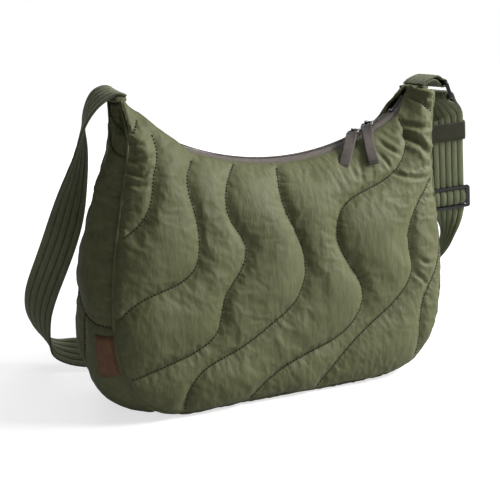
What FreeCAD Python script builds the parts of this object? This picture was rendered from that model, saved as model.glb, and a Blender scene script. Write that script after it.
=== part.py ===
import FreeCAD, Part
import math
import os

# Hobo bag, millimetres.  +Z up, the front faces -Y, the floor is z = 0.

V = FreeCAD.Vector
doc = FreeCAD.newDocument("HoboBag")

# ---------------------------------------------------------------- driving sizes
sheet = doc.addObject("Spreadsheet::Sheet", "sizes")
SIZES = [
    ("bag_depth_base", 120.0, "distance between the two seams at the floor"),
    ("bag_depth_tip", 46.0, "distance between the two seams at the horn tips"),
    ("bag_height", 330.0, "horn tips above the floor"),
    ("shell_thick", 7.0, "quilted shell: outer fabric and wadding"),
    ("panel_puff", 14.0, "how far a panel swells past its seam"),
    ("side_bulge", 15.0, "how far the gusset swells past the seams"),
    ("sole_long", 190.0, "flat patch that the base stands on"),
    ("sole_wide", 50.0, "flat patch that the base stands on, across"),
    ("lining_thick", 1.0, "lining fabric, thickened to a solid"),
    ("mouth_radius", 300.0, "radius of the curved zip"),
    ("mouth_centre_z", 554.0, "height of the centre of that radius"),
    ("tape_thick", 0.8, "zip tape"),
    ("coil_thick", 1.6, "height of a coil row"),
    ("slider_long", 12.0, "zip slider along the zip"),
    ("slider_wide", 10.0, "zip slider across the zip"),
    ("slider_plate", 1.7, "slider top plate"),
    ("slider_under", 1.3, "slider bottom plate"),
    ("slider_post", 1.2, "slider divider, across the zip"),
    ("bridge_bar", 1.2, "slider bridge bar height"),
    ("pull_wire", 1.4, "pull loop wire"),
    ("pull_long", 15.2, "pull loop outside length"),
    ("pull_wide", 13.0, "pull loop outside width"),
    ("ribbon_wide", 11.5, "ribbon pull width"),
    ("ribbon_thick", 2.2, "two plies of grosgrain"),
    ("strap_wide", 38.0, "shoulder strap width"),
    ("strap_thick", 2.4, "one ply of padded strap"),
    ("ring_wire", 4.0, "rectangular ring bar"),
    ("ring_wide", 49.0, "rectangular ring outside width"),
    ("ring_high", 22.1, "rectangular ring outside height"),
    ("glide_wide", 50.0, "triglide outside width"),
    ("glide_high", 28.0, "triglide outside height"),
    ("glide_bar", 3.2, "triglide bar height"),
    ("glide_plate", 3.0, "triglide bar depth"),
    ("glide_rail", 4.6, "triglide side rail width"),
    ("keeper_wide", 44.0, "strap keeper outside width"),
    ("keeper_deep", 10.0, "strap keeper outside depth"),
    ("keeper_high", 22.0, "strap keeper length along the strap"),
    ("keeper_wall", 1.6, "strap keeper band thickness"),
    ("tab_wide", 20.0, "leather tab, across the gusset"),
    ("stop_long", 3.0, "zip end stop along the zip"),
]
for row, (name, value, note) in enumerate(SIZES, start=1):
    sheet.set("A%d" % row, name)
    sheet.set("B%d" % row, repr(value))
    sheet.set("C%d" % row, note)
    sheet.setAlias("B%d" % row, name)
doc.recompute()


def size(name):
    return float(sheet.get(name))


DEPTH_BASE = size("bag_depth_base") / 2.0
DEPTH_TIP = size("bag_depth_tip") / 2.0
HEIGHT = size("bag_height")
SHELL = size("shell_thick")
PUFF = size("panel_puff")
BULGE = size("side_bulge")
LINING = size("lining_thick")
R_MOUTH = size("mouth_radius")
Z_MOUTH = size("mouth_centre_z")

GAP = 0.4            # clear space between neighbouring pieces
LEFT_SLIDER = 21.1   # degrees along the zip from its middle
RIGHT_SLIDER = 24.9
STOP_ANGLE = 31.6

# Front seam seen from the front (x, z): left horn tip, down, along the floor, up.
SEAM = [
    (-180, 323), (-176, 292), (-181, 253), (-192, 205), (-201, 152), (-204, 100),
    (-198, 56), (-183, 28), (-152, 8), (-100, 4), (0, 4), (98, 4),
    (150, 14), (182, 44), (195, 90), (197, 138), (193, 190), (191, 265), (199, 322),
]


# ---------------------------------------------------------------- helpers
def spline(points):
    curve = Part.BSplineCurve()
    curve.interpolate([V(*p) for p in points])
    return curve


seam_curve = spline([(x, 0, z) for x, z in SEAM])
SEAM_LENGTH = seam_curve.length()


def seam_at(s):
    """Point on the front seam at the share s of its length, and the outward normal."""
    p = seam_curve.parameterAtDistance(SEAM_LENGTH * min(max(s, 0.0), 1.0))
    point = seam_curve.value(p)
    along = seam_curve.tangent(p)[0]
    return point, V(along.z, 0, -along.x)


# The panels' top edge follows the zip's arc and then turns up to the horn tips.
mouth_points = [(-175.5, 0, 323), (-171, 0, 311.5)]
for turn in [-32.6] + [5.0 * k for k in range(-6, 7)] + [32.6]:
    a = math.radians(turn)
    mouth_points.append((R_MOUTH * math.sin(a), 0, Z_MOUTH - R_MOUTH * math.cos(a)))
mouth_points += [(172, 0, 313.5), (177, 0, 325.5)]
mouth_curve = spline(mouth_points)
MOUTH_LENGTH = mouth_curve.length()


def mouth_at(s):
    return mouth_curve.value(mouth_curve.parameterAtDistance(MOUTH_LENGTH * min(max(s, 0.0), 1.0)))


mouth_marks = [mouth_at(i / 120.0) for i in range(121)]
seam_marks = [seam_at(i / 180.0)[0] for i in range(181)]


def distance_to(marks, x, z):
    """Shortest distance from (x, z) to a line of short straight pieces."""
    best = 1e9
    for a, b in zip(marks, marks[1:]):
        dx, dz = b.x - a.x, b.z - a.z
        t = ((x - a.x) * dx + (z - a.z) * dz) / (dx * dx + dz * dz)
        t = min(max(t, 0.0), 1.0)
        best = min(best, math.hypot(x - a.x - t * dx, z - a.z - t * dz))
    return max(best - 0.05, 0.0)


def half_depth(z):
    t = min(max(z / HEIGHT, 0.0), 1.0)
    return DEPTH_BASE - (DEPTH_BASE - DEPTH_TIP) * t ** 1.3


def front_depth(x, z):
    """How far the puffed outer face of a panel stands from the middle plane."""
    below_mouth = distance_to(mouth_marks, x, z)
    lip = 14.0 + 28.0 * (1.0 - math.exp(-below_mouth / 22.0)) + 0.16 * below_mouth
    inset = min(distance_to(seam_marks, x, z) / 45.0, 1.0)
    body = half_depth(z) + PUFF * math.sqrt(1.0 - (1.0 - inset) ** 2)
    k = 6.0
    h = min(max(0.5 + 0.5 * (body - lip) / k, 0.0), 1.0)
    return body + (lip - body) * h - k * h * (1.0 - h)




def patch(outer, inner):
    """Closed solid between two grids of points that match one to one."""
    faces = []
    surfaces = []
    for grid in (outer, inner):
        surface = Part.BSplineSurface()
        surface.interpolate(grid)
        surfaces.append(surface)
        faces.append(surface.toShape())
    a, b = surfaces
    u0, u1, v0, v1 = a.bounds()
    p0, p1, q0, q1 = b.bounds()
    pairs = [
        (a.uIso(u0), b.uIso(p0)), (a.uIso(u1), b.uIso(p1)),
        (a.vIso(v0), b.vIso(q0)), (a.vIso(v1), b.vIso(q1)),
    ]
    for one, two in pairs:
        faces.append(Part.makeRuledSurface(one.toShape(), two.toShape()))
    shell = Part.Shell(faces)
    shell.sewShape()
    return Part.makeSolid(shell)


def feature(label, shape):
    obj = doc.addObject("Part::Feature", label)
    obj.Shape = shape
    obj.Label = label
    return obj


def panel_grid(side, inward, s_range, rows, cols, rim=0.0, lip=0.0):
    """Grid over a front (side -1) or back (side +1) panel, moved inward in depth."""
    grid = []
    s0, s1 = s_range
    for i in range(cols):
        s = s0 + (s1 - s0) * i / (cols - 1.0)
        top = mouth_at(s)
        low = seam_at(s)[0]
        reach = (low - top).Length
        v0 = lip / reach
        v1 = 1.0 - rim / reach
        line = []
        for j in range(rows):
            e = j / (rows - 1.0)
            v = v0 + (v1 - v0) * (0.5 - 0.5 * math.cos(math.pi * e))
            p = top + (low - top) * v
            line.append(V(p.x, side * (front_depth(p.x, p.z) - inward), p.z))
        grid.append(line)
    return grid


def gusset_point(s, v, out):
    """Point on the gusset: v runs from the front seam (0) to the back seam (1)."""
    p, n = seam_at(s)
    q = p - n * SHELL
    half = min(half_depth(p.z), front_depth(q.x, q.z)) - SHELL - 1.5 * GAP
    down = max(-n.z, 0.0)
    swell = BULGE * abs(n.x) * math.sin(math.pi * min(max(s, 0.0), 1.0)) ** 0.35 + 5.2 * down
    rise = (1.0 - abs(2.0 * v - 1.0) ** 2.4) * swell + out
    # The base is flat just above the floor; its sole stands on the floor.
    return V(p.x + n.x * rise, (2.0 * v - 1.0) * half, max(p.z + n.z * rise, 0.5))


def gusset_grid(s_range, v_range, out, cols, rows, side_in=0.0):
    grid = []
    for i in range(cols):
        s = s_range[0] + (s_range[1] - s_range[0]) * i / (cols - 1.0)
        line = []
        for j in range(rows):
            v = v_range[0] + (v_range[1] - v_range[0]) * j / (rows - 1.0)
            q = gusset_point(s, v, out)
            q.y -= side_in * (2.0 * v - 1.0)
            line.append(q)
        grid.append(line)
    return grid


# ---------------------------------------------------------------- bag shell
feature("front_panel", patch(
    panel_grid(-1, 0.0, (0.0, 1.0), 13, 33),
    panel_grid(-1, SHELL, (0.0, 1.0), 13, 33)))
feature("back_panel", patch(
    panel_grid(1, 0.0, (0.0, 1.0), 13, 33),
    panel_grid(1, SHELL, (0.0, 1.0), 13, 33)))

side_wall = patch(
    gusset_grid((0.0, 1.0), (0.0, 1.0), 0.0, 49, 11),
    gusset_grid((0.0, 1.0), (0.0, 1.0), -SHELL, 49, 11))
sole = Part.makeBox(size("sole_long"), size("sole_wide"), 3.0,
                    V(-10.0 - size("sole_long") / 2.0, -size("sole_wide") / 2.0, 0))
feature("gusset", side_wall.fuse(sole))

# ---------------------------------------------------------------- lining
IN = SHELL + GAP
feature("front_lining", patch(
    panel_grid(-1, IN, (0.14, 0.86), 11, 25, 13.0, 9.0),
    panel_grid(-1, IN + LINING, (0.14, 0.86), 11, 25, 13.0, 9.0)))
feature("back_lining", patch(
    panel_grid(1, IN, (0.14, 0.86), 11, 25, 13.0, 9.0),
    panel_grid(1, IN + LINING, (0.14, 0.86), 11, 25, 13.0, 9.0)))
feature("gusset_lining", patch(
    gusset_grid((0.05, 0.95), (0.0, 1.0), -IN, 37, 7, 2.5),
    gusset_grid((0.05, 0.95), (0.0, 1.0), -IN - LINING, 37, 7, 2.5)))


def pocket_grid(inward):
    grid = []
    for i in range(9):
        x = -80.0 + 20.0 * i
        line = []
        for j in range(7):
            z = 62.0 + 19.0 * j
            line.append(V(x, front_depth(x, z) - inward, z))
        grid.append(line)
    return grid


feature("inner_pocket", patch(pocket_grid(IN + LINING + GAP),
                              pocket_grid(IN + LINING + GAP + LINING)))


# ---------------------------------------------------------------- zip
def arc_point(angle, radius, y):
    a = math.radians(angle)
    return V(radius * math.sin(a), y, Z_MOUTH - radius * math.cos(a))


def arc_strip(path, end, cols=25):
    """Closed solid swept along the mouth: path is a list of (depth, below) pairs."""
    wires = []
    face = Part.Face(Part.makePolygon([arc_point(-end, R_MOUTH + d, y) for y, d in path]
                                      + [arc_point(-end, R_MOUTH + path[0][1], path[0][0])]))
    return face.revolve(V(0, 0, Z_MOUTH), V(0, -1, 0), 2.0 * end)


TAPE = size("tape_thick") / 2.0
COIL = size("coil_thick")
for name, side in (("front", -1), ("back", 1)):
    tape = [(side * 1.0, -TAPE), (side * 6.2, -TAPE), (side * 12.6, 6.2),
            (side * 12.0, 7.0), (side * 5.8, TAPE), (side * 1.0, TAPE)]
    feature("zip_tape_" + name, arc_strip(tape, 32.6))
    row = [(side * 0.9, -TAPE - 0.1), (side * 3.2, -TAPE - 0.1),
           (side * 3.2, -TAPE - 0.1 - COIL), (side * 0.9, -TAPE - 0.1 - COIL)]
    feature("zip_coil_" + name, arc_strip(row, 31.1))


def arc_placement(angle, lift=0.0):
    """Local X along the zip, local Z out of the bag, origin on the zip."""
    at = arc_point(angle, R_MOUTH - lift, 0.0)
    return FreeCAD.Placement(at, FreeCAD.Rotation(V(0, 1, 0), -angle))


# ---------------------------------------------------------------- parametric bodies
def origin_plane(body, role):
    for item in body.Origin.OriginFeatures:
        if item.Role == role:
            return item
    raise RuntimeError("no plane " + role)


def sketch_on(body, role, name, offset=None):
    sk = body.newObject("Sketcher::SketchObject", name)
    sk.AttachmentSupport = [(origin_plane(body, role), "")]
    sk.MapMode = "FlatFace"
    if offset is not None:
        sk.AttachmentOffset = FreeCAD.Placement(V(0, 0, offset), FreeCAD.Rotation())
    return sk


def centred_rectangle(sk, width, height, cx=0.0, cy=0.0):
    """Rectangle whose two sizes are expressions on the sheet."""
    import Sketcher
    w = 5.0
    h = 3.0
    corners = [V(cx - w, cy - h, 0), V(cx + w, cy - h, 0), V(cx + w, cy + h, 0), V(cx - w, cy + h, 0)]
    first = sk.GeometryCount
    for i in range(4):
        sk.addGeometry(Part.LineSegment(corners[i], corners[(i + 1) % 4]), False)
    for i in range(4):
        sk.addConstraint(Sketcher.Constraint("Coincident", first + i, 2, first + (i + 1) % 4, 1))
    sk.addConstraint(Sketcher.Constraint("Horizontal", first))
    sk.addConstraint(Sketcher.Constraint("Horizontal", first + 2))
    sk.addConstraint(Sketcher.Constraint("Vertical", first + 1))
    sk.addConstraint(Sketcher.Constraint("Vertical", first + 3))
    n = sk.ConstraintCount
    sk.addConstraint(Sketcher.Constraint("DistanceX", first, 1, first, 2, 2 * w))
    sk.addConstraint(Sketcher.Constraint("DistanceY", first + 1, 1, first + 1, 2, 2 * h))
    sk.setExpression("Constraints[%d]" % n, width)
    sk.setExpression("Constraints[%d]" % (n + 1), height)
    m = sk.ConstraintCount
    sk.addConstraint(Sketcher.Constraint("DistanceX", -1, 1, first, 1, cx - w))
    sk.addConstraint(Sketcher.Constraint("DistanceY", -1, 1, first, 1, cy - h))
    sk.setExpression("Constraints[%d]" % m, "%g - (%s) / 2" % (cx, width))
    sk.setExpression("Constraints[%d]" % (m + 1), "%g - (%s) / 2" % (cy, height))


def pad(body, name, length, width, height, z0, cx=0.0, cy=0.0):
    sk = sketch_on(body, "XY_Plane", name + "_sketch", 0.0)
    centred_rectangle(sk, width, height, cx, cy)
    sk.setExpression("AttachmentOffset.Base.z", z0)
    feat = body.newObject("PartDesign::Pad", name)
    feat.Profile = sk
    feat.setExpression("Length", length)
    sk.Visibility = False
    doc.recompute()
    return feat


def pocket(body, name, length, width, height, z0, cx=0.0, cy=0.0):
    sk = sketch_on(body, "XY_Plane", name + "_sketch", 0.0)
    centred_rectangle(sk, width, height, cx, cy)
    sk.setExpression("AttachmentOffset.Base.z", z0)
    feat = body.newObject("PartDesign::Pocket", name)
    feat.Profile = sk
    feat.setExpression("Length", length)
    doc.recompute()
    return feat


def fillet(body, name, base, radius, pick):
    feat = body.newObject("PartDesign::Fillet", name)
    edges = []
    for i, edge in enumerate(base.Shape.Edges, start=1):
        if pick(edge):
            edges.append("Edge%d" % i)
    feat.Base = (base, edges)
    feat.Radius = radius
    doc.recompute()
    return feat


def round_bar(body, name, radius, long, place):
    """Rounds a bar: a cylinder along it, a hair wider than its flats."""
    bar = body.newObject("PartDesign::AdditiveCylinder", name)
    bar.Height = long
    bar.Angle = 360.0
    bar.setExpression("Radius", radius)
    bar.Placement = FreeCAD.Placement(place, FreeCAD.Rotation(V(0, 1, 0), 90))
    doc.recompute()
    return bar


def upright(edge):
    a, b = edge.Vertexes[0].Point, edge.Vertexes[-1].Point
    return abs(a.x - b.x) < 1e-6 and abs(a.y - b.y) < 1e-6


def new_body(label):
    body = doc.addObject("PartDesign::Body", label)
    body.Label = label
    return body


def zip_slider(label, angle):
    """Two plates joined by a divider, and a bridge across the top."""
    body = new_body(label)
    under = "-sizes.tape_thick / 2 - 0.4 - sizes.slider_under"
    pad(body, label + "_under", "sizes.slider_under", "sizes.slider_long - 2", "sizes.slider_wide", under)
    rise = "sizes.coil_thick + sizes.tape_thick + 0.9"
    pad(body, label + "_post", rise, "sizes.slider_long / 2", "sizes.slider_post",
        "-sizes.tape_thick / 2 - 0.4")
    deck = "sizes.tape_thick / 2 + sizes.coil_thick + 0.5"
    top = pad(body, label + "_top", "sizes.slider_plate", "sizes.slider_long", "sizes.slider_wide", deck)
    deck_top = deck + " + sizes.slider_plate"
    for k, cy in enumerate((-3.6, 3.6)):
        pad(body, "%s_leg%d" % (label, k), "sizes.pull_wire + 0.9", "2.4", "1.4", deck_top, 0.0, cy)
    pad(body, label + "_bridge", "sizes.bridge_bar", "2.4", "8.6",
        deck_top + " + sizes.pull_wire + 0.9")
    body.Placement = arc_placement(angle)
    return body


zip_slider("slider_left", LEFT_SLIDER)
zip_slider("slider_right", RIGHT_SLIDER)
BAR_LIFT = 0.4 + 1.6 + 0.5 + 1.7 + 0.45 + 0.7   # pull loop's near bar above the zip


def pull_frame(angle, heading):
    """Local X along the loop's near bar, local -Y the way the pull hangs, Z out of the bag."""
    base = arc_placement(angle)
    return base.multiply(FreeCAD.Placement(V(0, 0, BAR_LIFT), FreeCAD.Rotation(V(0, 0, 1), heading)))


def pull_loop(label, angle, heading):
    """Rectangular wire loop: its near bar lies under the slider's bridge."""
    body = new_body(label)
    cy = -(size("pull_wide") - size("pull_wire")) / 2.0
    outer = pad(body, label + "_blank", "sizes.pull_wire", "sizes.pull_long", "sizes.pull_wide",
                "-sizes.pull_wire / 2", 0.0, cy)
    ring = pocket(body, label + "_hole", "sizes.pull_wire * 2", "sizes.pull_long - 2 * sizes.pull_wire",
                  "sizes.pull_wide - 2 * sizes.pull_wire", "sizes.pull_wire", 0.0, cy)
    fillet(body, label + "_round", ring, 1.2,
           lambda e: upright(e) and abs(abs(e.Vertexes[0].Point.x) - 7.6) < 0.01)
    round_bar(body, label + "_pivot", "sizes.pull_wire / 2 + 0.05", 12.4, V(-6.2, 0, 0))
    body.Placement = pull_frame(angle, heading)
    return body


LEFT_HEADING = -46.0
RIGHT_HEADING = -40.0
pull_loop("pull_loop_left", LEFT_SLIDER, LEFT_HEADING)
pull_loop("pull_loop_right", RIGHT_SLIDER, RIGHT_HEADING)


def ribbon(label, angle, heading, drop):
    """Ribbon folded round the loop's far bar: drop is a list of (out, down) points."""
    far = -(size("pull_wide") - size("pull_wire"))
    half = size("ribbon_wide") / 2.0
    t = size("ribbon_thick") / 2.0
    inner_r = 1.45
    eye = Part.makeCylinder(inner_r + t, 2 * half, V(-half, far, 0), V(1, 0, 0))
    path = [V(0, far - 0.4, 0)] + [V(0, -a, -b) for a, b in drop]
    curve = Part.BSplineCurve()
    curve.interpolate(path)
    n = 14
    outer = []
    inner = []
    for i in range(n):
        p = curve.FirstParameter + (curve.LastParameter - curve.FirstParameter) * i / (n - 1.0)
        c = curve.value(p)
        d = curve.tangent(p)[0]
        bank = min(max((-c.y - 14.0) / 14.0, 0.0), 1.0) * 0.75
        w = V(1, 0, -bank)
        w = (w - d * w.dot(d)).normalize()
        up = d.cross(w)
        if up.z < 0:
            up = up * -1.0
        outer.append([c + w * x + up * t for x in (-half, 0, half)])
        inner.append([c + w * x - up * t for x in (-half, 0, half)])
    solid = patch(outer, inner).fuse(eye)
    bore = Part.makeCylinder(inner_r, 2 * half + 4, V(-half - 2, far, 0), V(1, 0, 0))
    solid = solid.cut(bore)
    obj = feature(label, solid)
    obj.Placement = pull_frame(angle, heading)
    return obj


LEFT_DROP = [(17, 0.6), (22, 2.2), (26, 4.1), (30, 6.2), (34, 8.4), (38, 10.9), (42, 13.8), (46, 17.0)]
RIGHT_DROP = [(17, 1.0), (22, 3.3), (26, 5.6), (30, 8.2), (34, 11.0), (38, 14.2), (42, 17.8), (46, 22.1)]
ribbon("ribbon_pull_left", LEFT_SLIDER, LEFT_HEADING, LEFT_DROP)
ribbon("ribbon_pull_right", RIGHT_SLIDER, RIGHT_HEADING, RIGHT_DROP)


def end_stop(label, angle):
    box = doc.addObject("Part::Box", label)
    box.Label = label
    box.setExpression("Length", "sizes.stop_long")
    box.Width = 6.8
    box.setExpression("Height", "sizes.coil_thick + 0.4")
    at = arc_placement(angle, size("tape_thick") / 2.0 + 0.1)
    shift = FreeCAD.Placement(V(-size("stop_long") / 2.0, -3.4, 0), FreeCAD.Rotation())
    box.Placement = at.multiply(shift)
    return box


end_stop("zip_stop_left", -STOP_ANGLE)
end_stop("zip_stop_right", STOP_ANGLE)


# ---------------------------------------------------------------- horn caps
def horn_cap(label, x0, x1, z0, z1, half):
    profile = [V(x0, -half, z0), V(x1, -half, z1), V(x1, -half, z1 - 3.0), V(x0, -half, z0 - 3.0)]
    face = Part.Face(Part.makePolygon(profile + [profile[0]]))
    return feature(label, face.extrude(V(0, 2 * half, 0)))


horn_cap("horn_cap_left", -181.5, -176.5, 326.4, 327.4, 12.5)
horn_cap("horn_cap_right", 184.5, 196.0, 327.2, 326.2, 14.0)


# ---------------------------------------------------------------- straps
HALF = size("strap_wide") / 2.0
PLY = size("strap_thick") / 2.0

# The straight stretch that carries the keeper and the triglide.
GLIDE_AT = V(256.0, 11.5, 188.0)
STRETCH = V(-17, -10.5, 98).normalize()
ACROSS = V(0.93, -0.34, 0.13)
ACROSS = (ACROSS - STRETCH * ACROSS.dot(STRETCH)).normalize()
FACE = ACROSS.cross(STRETCH)

RING_TOP = V(217.0, 0, 330.0)
RING_LOW = V(224.5, 0, 313.5)


def stretch(d, n=0.0, w=0.0):
    return GLIDE_AT + STRETCH * d + FACE * n + ACROSS * w


def even_stations(stations, step):
    """The same path with its stations at equal steps."""
    curve = Part.BSplineCurve()
    curve.interpolate([c for c, w, t in stations])
    marks = [curve.length(curve.FirstParameter, curve.parameter(c)) if i else 0.0
             for i, (c, w, t) in enumerate(stations)]
    total = marks[-1]
    count = int(total / step) + 1
    result = []
    k = 0
    for i in range(count + 1):
        at = total * i / count
        while k < len(marks) - 2 and marks[k + 1] < at:
            k += 1
        share = (at - marks[k]) / (marks[k + 1] - marks[k])
        w = stations[k][1].normalize() * (1.0 - share) + stations[k + 1][1].normalize() * share
        c = curve.value(curve.parameterAtDistance(at, curve.FirstParameter))
        result.append((c, w, stations[k][2]))
    for turn in range(10):
        ways = [w for c, w, t in result]
        for i in range(1, len(result) - 1):
            w = ways[i - 1] * 0.25 + ways[i] * 0.5 + ways[i + 1] * 0.25
            result[i] = (result[i][0], w, result[i][2])
    return result


def webbing(stations, step, rows=5):
    """Flat strap through (centre, width direction, half thickness) stations."""
    outer = []
    inner = []
    stations = even_stations(stations, step)
    count = len(stations)
    for i, (c, w, t) in enumerate(stations):
        ahead = stations[min(i + 1, count - 1)][0]
        behind = stations[max(i - 1, 0)][0]
        along = (ahead - behind).normalize()
        w = (w - along * w.dot(along)).normalize()
        n = w.cross(along)
        spread = [-HALF + 2.0 * HALF * j / (rows - 1.0) for j in range(rows)]
        outer.append([c + w * q + n * t for q in spread])
        inner.append([c + w * q - n * t for q in spread])
    return patch(outer, inner)


LONG = [
    ((-173, 0, 332.0), (0, 0.98, 0.10)), ((-181, 0.5, 332.8), (0, 0.98, 0.16)),
    ((-189, 2, 331.0), (0.05, 0.95, 0.28)), ((-197, 4, 325.5), (0.12, 0.93, 0.33)),
    ((-204, 7.5, 315), (0.20, 0.92, 0.34)), ((-209, 13, 298), (0.32, 0.93, 0.20)),
    ((-209.5, 23, 276), (0.55, 0.83, 0.08)), ((-209, 38, 252), (0.76, 0.64, 0.04)),
    ((-210, 56, 222), (0.94, 0.30, 0.0)), ((-212, 74, 191), (0.99, -0.10, -0.10)),
    ((-218, 95, 153), (0.89, -0.36, -0.28)), ((-226, 113, 118), (0.83, -0.50, -0.25)),
    ((-230, 127, 93), (0.73, -0.66, -0.16)), ((-230, 138, 71), (0.51, -0.86, -0.08)),
    ((-225.5, 148, 52), (0.26, -0.97, 0.0)), ((-219, 153, 37), (0.05, -0.99, -0.06)),
    ((-210, 152, 27), (-0.12, -0.95, -0.26)), ((-198, 145, 22), (-0.18, -0.84, -0.48)),
    ((-182, 133, 20), (-0.18, -0.68, -0.70)), ((-158, 121, 19.5), (-0.13, -0.58, -0.80)),
    ((-120, 111, 19.6), (-0.06, -0.50, -0.86)), ((-40, 105, 19.8), (0, -0.46, -0.88)), ((60, 104, 19.8), (0, -0.46, -0.88)),
    ((150, 107, 20), (0, -0.50, -0.86)), ((205, 102, 32), (-0.04, -0.70, -0.70)),
    ((236, 88, 58), (-0.14, -0.88, -0.46)), ((252, 66, 84), (-0.26, -0.93, -0.26)),
    ((260, 43, 106), (-0.25, -0.96, -0.10)), ((262.8, 27, 126), (-0.15, -0.98, 0.0)),
    ((262.3, 19.5, 143), (0.20, -0.97, 0.06)), ((261, 16.2, 156), (0.72, -0.68, 0.10)),
    ((259.6, 14.3, 166), (0.93, -0.36, 0.13)),
]
long_run = [(V(*c), V(*w), PLY) for c, w in LONG]
for d in (-15.5, 0.0, 25.0, 50.0, 75.0, 84.0, 93.0, 103.0):
    long_run.append((stretch(d), ACROSS, PLY))


def between(a, b, share):
    return (a * (1.0 - share) + b * share)


# The strap turns its width from the stretch to the ring's bar, goes over it and comes back.
EYE = 2.0 + 2.8 + PLY
BAR_WAY = V(0, -1, 0)
rise_to = RING_LOW + V(-EYE, 0, 0)
for share in (0.3, 0.6):
    long_run.append((between(stretch(103.0), rise_to, share), between(ACROSS, BAR_WAY, share + 0.1), PLY))
for turn in (180.0, 140.0, 90.0, 40.0, 0.0):
    a = math.radians(turn)
    long_run.append((RING_LOW + V(EYE * math.cos(a), 0, EYE * math.sin(a)), BAR_WAY, PLY))
back_to = RING_LOW + V(EYE, 0, 0)
BEHIND = -(2 * PLY + GAP)
for share in (0.4, 0.7):
    c = between(back_to, stretch(103.0, BEHIND), share)
    long_run.append((c, between(BAR_WAY, ACROSS, share - 0.1), PLY))
for d in (103.0, 93.0, 84.0, 75.0, 50.0, 26.0):
    long_run.append((stretch(d, BEHIND), ACROSS, PLY))

feature("shoulder_strap", webbing(long_run, 3.5))

# Webbing loop from the right horn to the top bar of the ring.
HOLD = 2.0 + 1.0 + PLY
anchor = [V(188, 0, 333.0), V(195, 0, 334.6), V(202, 0, 337.4), V(209, 0, 338.0)]
for turn in (100.0, 60.0, 20.0, -20.0, -60.0, -100.0):
    a = math.radians(turn)
    anchor.append(RING_TOP + V(HOLD * math.cos(a), 0, HOLD * math.sin(a)))
anchor += [V(209, 0, 327.8), V(202, 0, 330.2), V(195, 0, 330.8), V(188, 0, 330.0)]
feature("strap_anchor", webbing([(c, V(0, 1, 0), PLY) for c in anchor], 2.0))


# ---------------------------------------------------------------- ring
def hardware_frame(label, at, x_way, y_way):
    """Placement whose local X and Y run along the two given directions."""
    x = V(x_way).normalize()
    y = (V(y_way) - x * V(y_way).dot(x)).normalize()
    z = x.cross(y)
    m = FreeCAD.Matrix(x.x, y.x, z.x, at.x, x.y, y.y, z.y, at.y, x.z, y.z, z.z, at.z, 0, 0, 0, 1)
    return FreeCAD.Placement(m)


ring = new_body("ring")
pad(ring, "ring_blank", "sizes.ring_wire", "sizes.ring_wide", "sizes.ring_high", "-sizes.ring_wire / 2")
hole = pocket(ring, "ring_hole", "sizes.ring_wire * 2", "sizes.ring_wide - 2 * sizes.ring_wire",
              "sizes.ring_high - 2 * sizes.ring_wire", "sizes.ring_wire")
corner = fillet(ring, "ring_corner", hole, 3.0,
                lambda e: upright(e) and abs(e.Vertexes[0].Point.x) > 22.0)
fillet(ring, "ring_round", corner, 1.4, lambda e: not upright(e))
round_bar(ring, "ring_pivot", "sizes.ring_wire / 2 + 0.05", 41.0,
          V(-20.5, (RING_TOP - RING_LOW).Length / 2.0, 0))
ring.Placement = hardware_frame("ring", (RING_TOP + RING_LOW) * 0.5, V(0, 1, 0), RING_TOP - RING_LOW)

# ---------------------------------------------------------------- triglide
glide = new_body("triglide")
front_z = "sizes.strap_thick / 2 + 0.5"
pad(glide, "glide_blank", "sizes.glide_plate", "sizes.glide_wide", "sizes.glide_high", front_z)
window = pocket(glide, "glide_window", "sizes.glide_plate * 2", "sizes.glide_wide - 2 * sizes.glide_rail",
                "sizes.glide_high - 2 * sizes.glide_bar", front_z + " + sizes.glide_plate * 1.5")
corner = fillet(glide, "glide_corner", window, 3.0,
                lambda e: upright(e) and abs(e.Vertexes[0].Point.x) > 24.0)
BAR_BACK = "-6.4"
for k, cx in enumerate((-22.7, 22.7)):
    pad(glide, "glide_cheek%d" % k, "sizes.strap_thick / 2 + 0.5 + 6.4", "sizes.glide_rail", "8",
        BAR_BACK, cx, 0.0)
pad(glide, "glide_bar_back", "2.2", "sizes.glide_wide - sizes.glide_rail", "5", BAR_BACK)
glide.Placement = hardware_frame("triglide", GLIDE_AT, ACROSS, STRETCH)

# The strap's own end: a sleeve round the triglide's centre bar, then one ply upwards.
sleeve = Part.makeBox(2 * HALF, 8.8, 6.2, V(-HALF, -4.4, -8.4))
hollow = Part.makeBox(2 * HALF + 4, 5.8, 2.9, V(-HALF - 2, -2.9, -6.75))
ply = Part.makeBox(2 * HALF, 50.0, 2.4, V(-HALF, 0.0, -7.0))
ply = ply.cut(Part.makeBox(2 * HALF + 4, 4.0, 6.2, V(-HALF - 2, -0.1, -8.4)))
tail = feature("strap_tail", sleeve.fuse(ply).cut(hollow).removeSplitter())
tail.Placement = hardware_frame("strap_tail", GLIDE_AT, ACROSS, STRETCH)

# ---------------------------------------------------------------- keeper
keeper = new_body("strap_keeper")
pad(keeper, "keeper_blank", "sizes.keeper_high", "sizes.keeper_wide", "sizes.keeper_deep",
    "-sizes.keeper_high / 2")
hole = pocket(keeper, "keeper_hole", "sizes.keeper_high * 2", "sizes.keeper_wide - 2 * sizes.keeper_wall",
              "sizes.keeper_deep - 2 * sizes.keeper_wall", "sizes.keeper_high")
fillet(keeper, "keeper_round", hole, 1.2, lambda e: upright(e) and abs(e.Vertexes[0].Point.x) > 21.0)
keeper_at = stretch(84.0, BEHIND / 2.0)
keeper.Placement = hardware_frame("strap_keeper", keeper_at, ACROSS, -FACE)

# ---------------------------------------------------------------- leather tab
TAB = (0.240, 0.280)
feature("leather_tab", patch(gusset_grid(TAB, (0.01, 0.19), 2.0, 5, 5),
                             gusset_grid(TAB, (0.01, 0.19), 0.5, 5, 5)))

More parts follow.
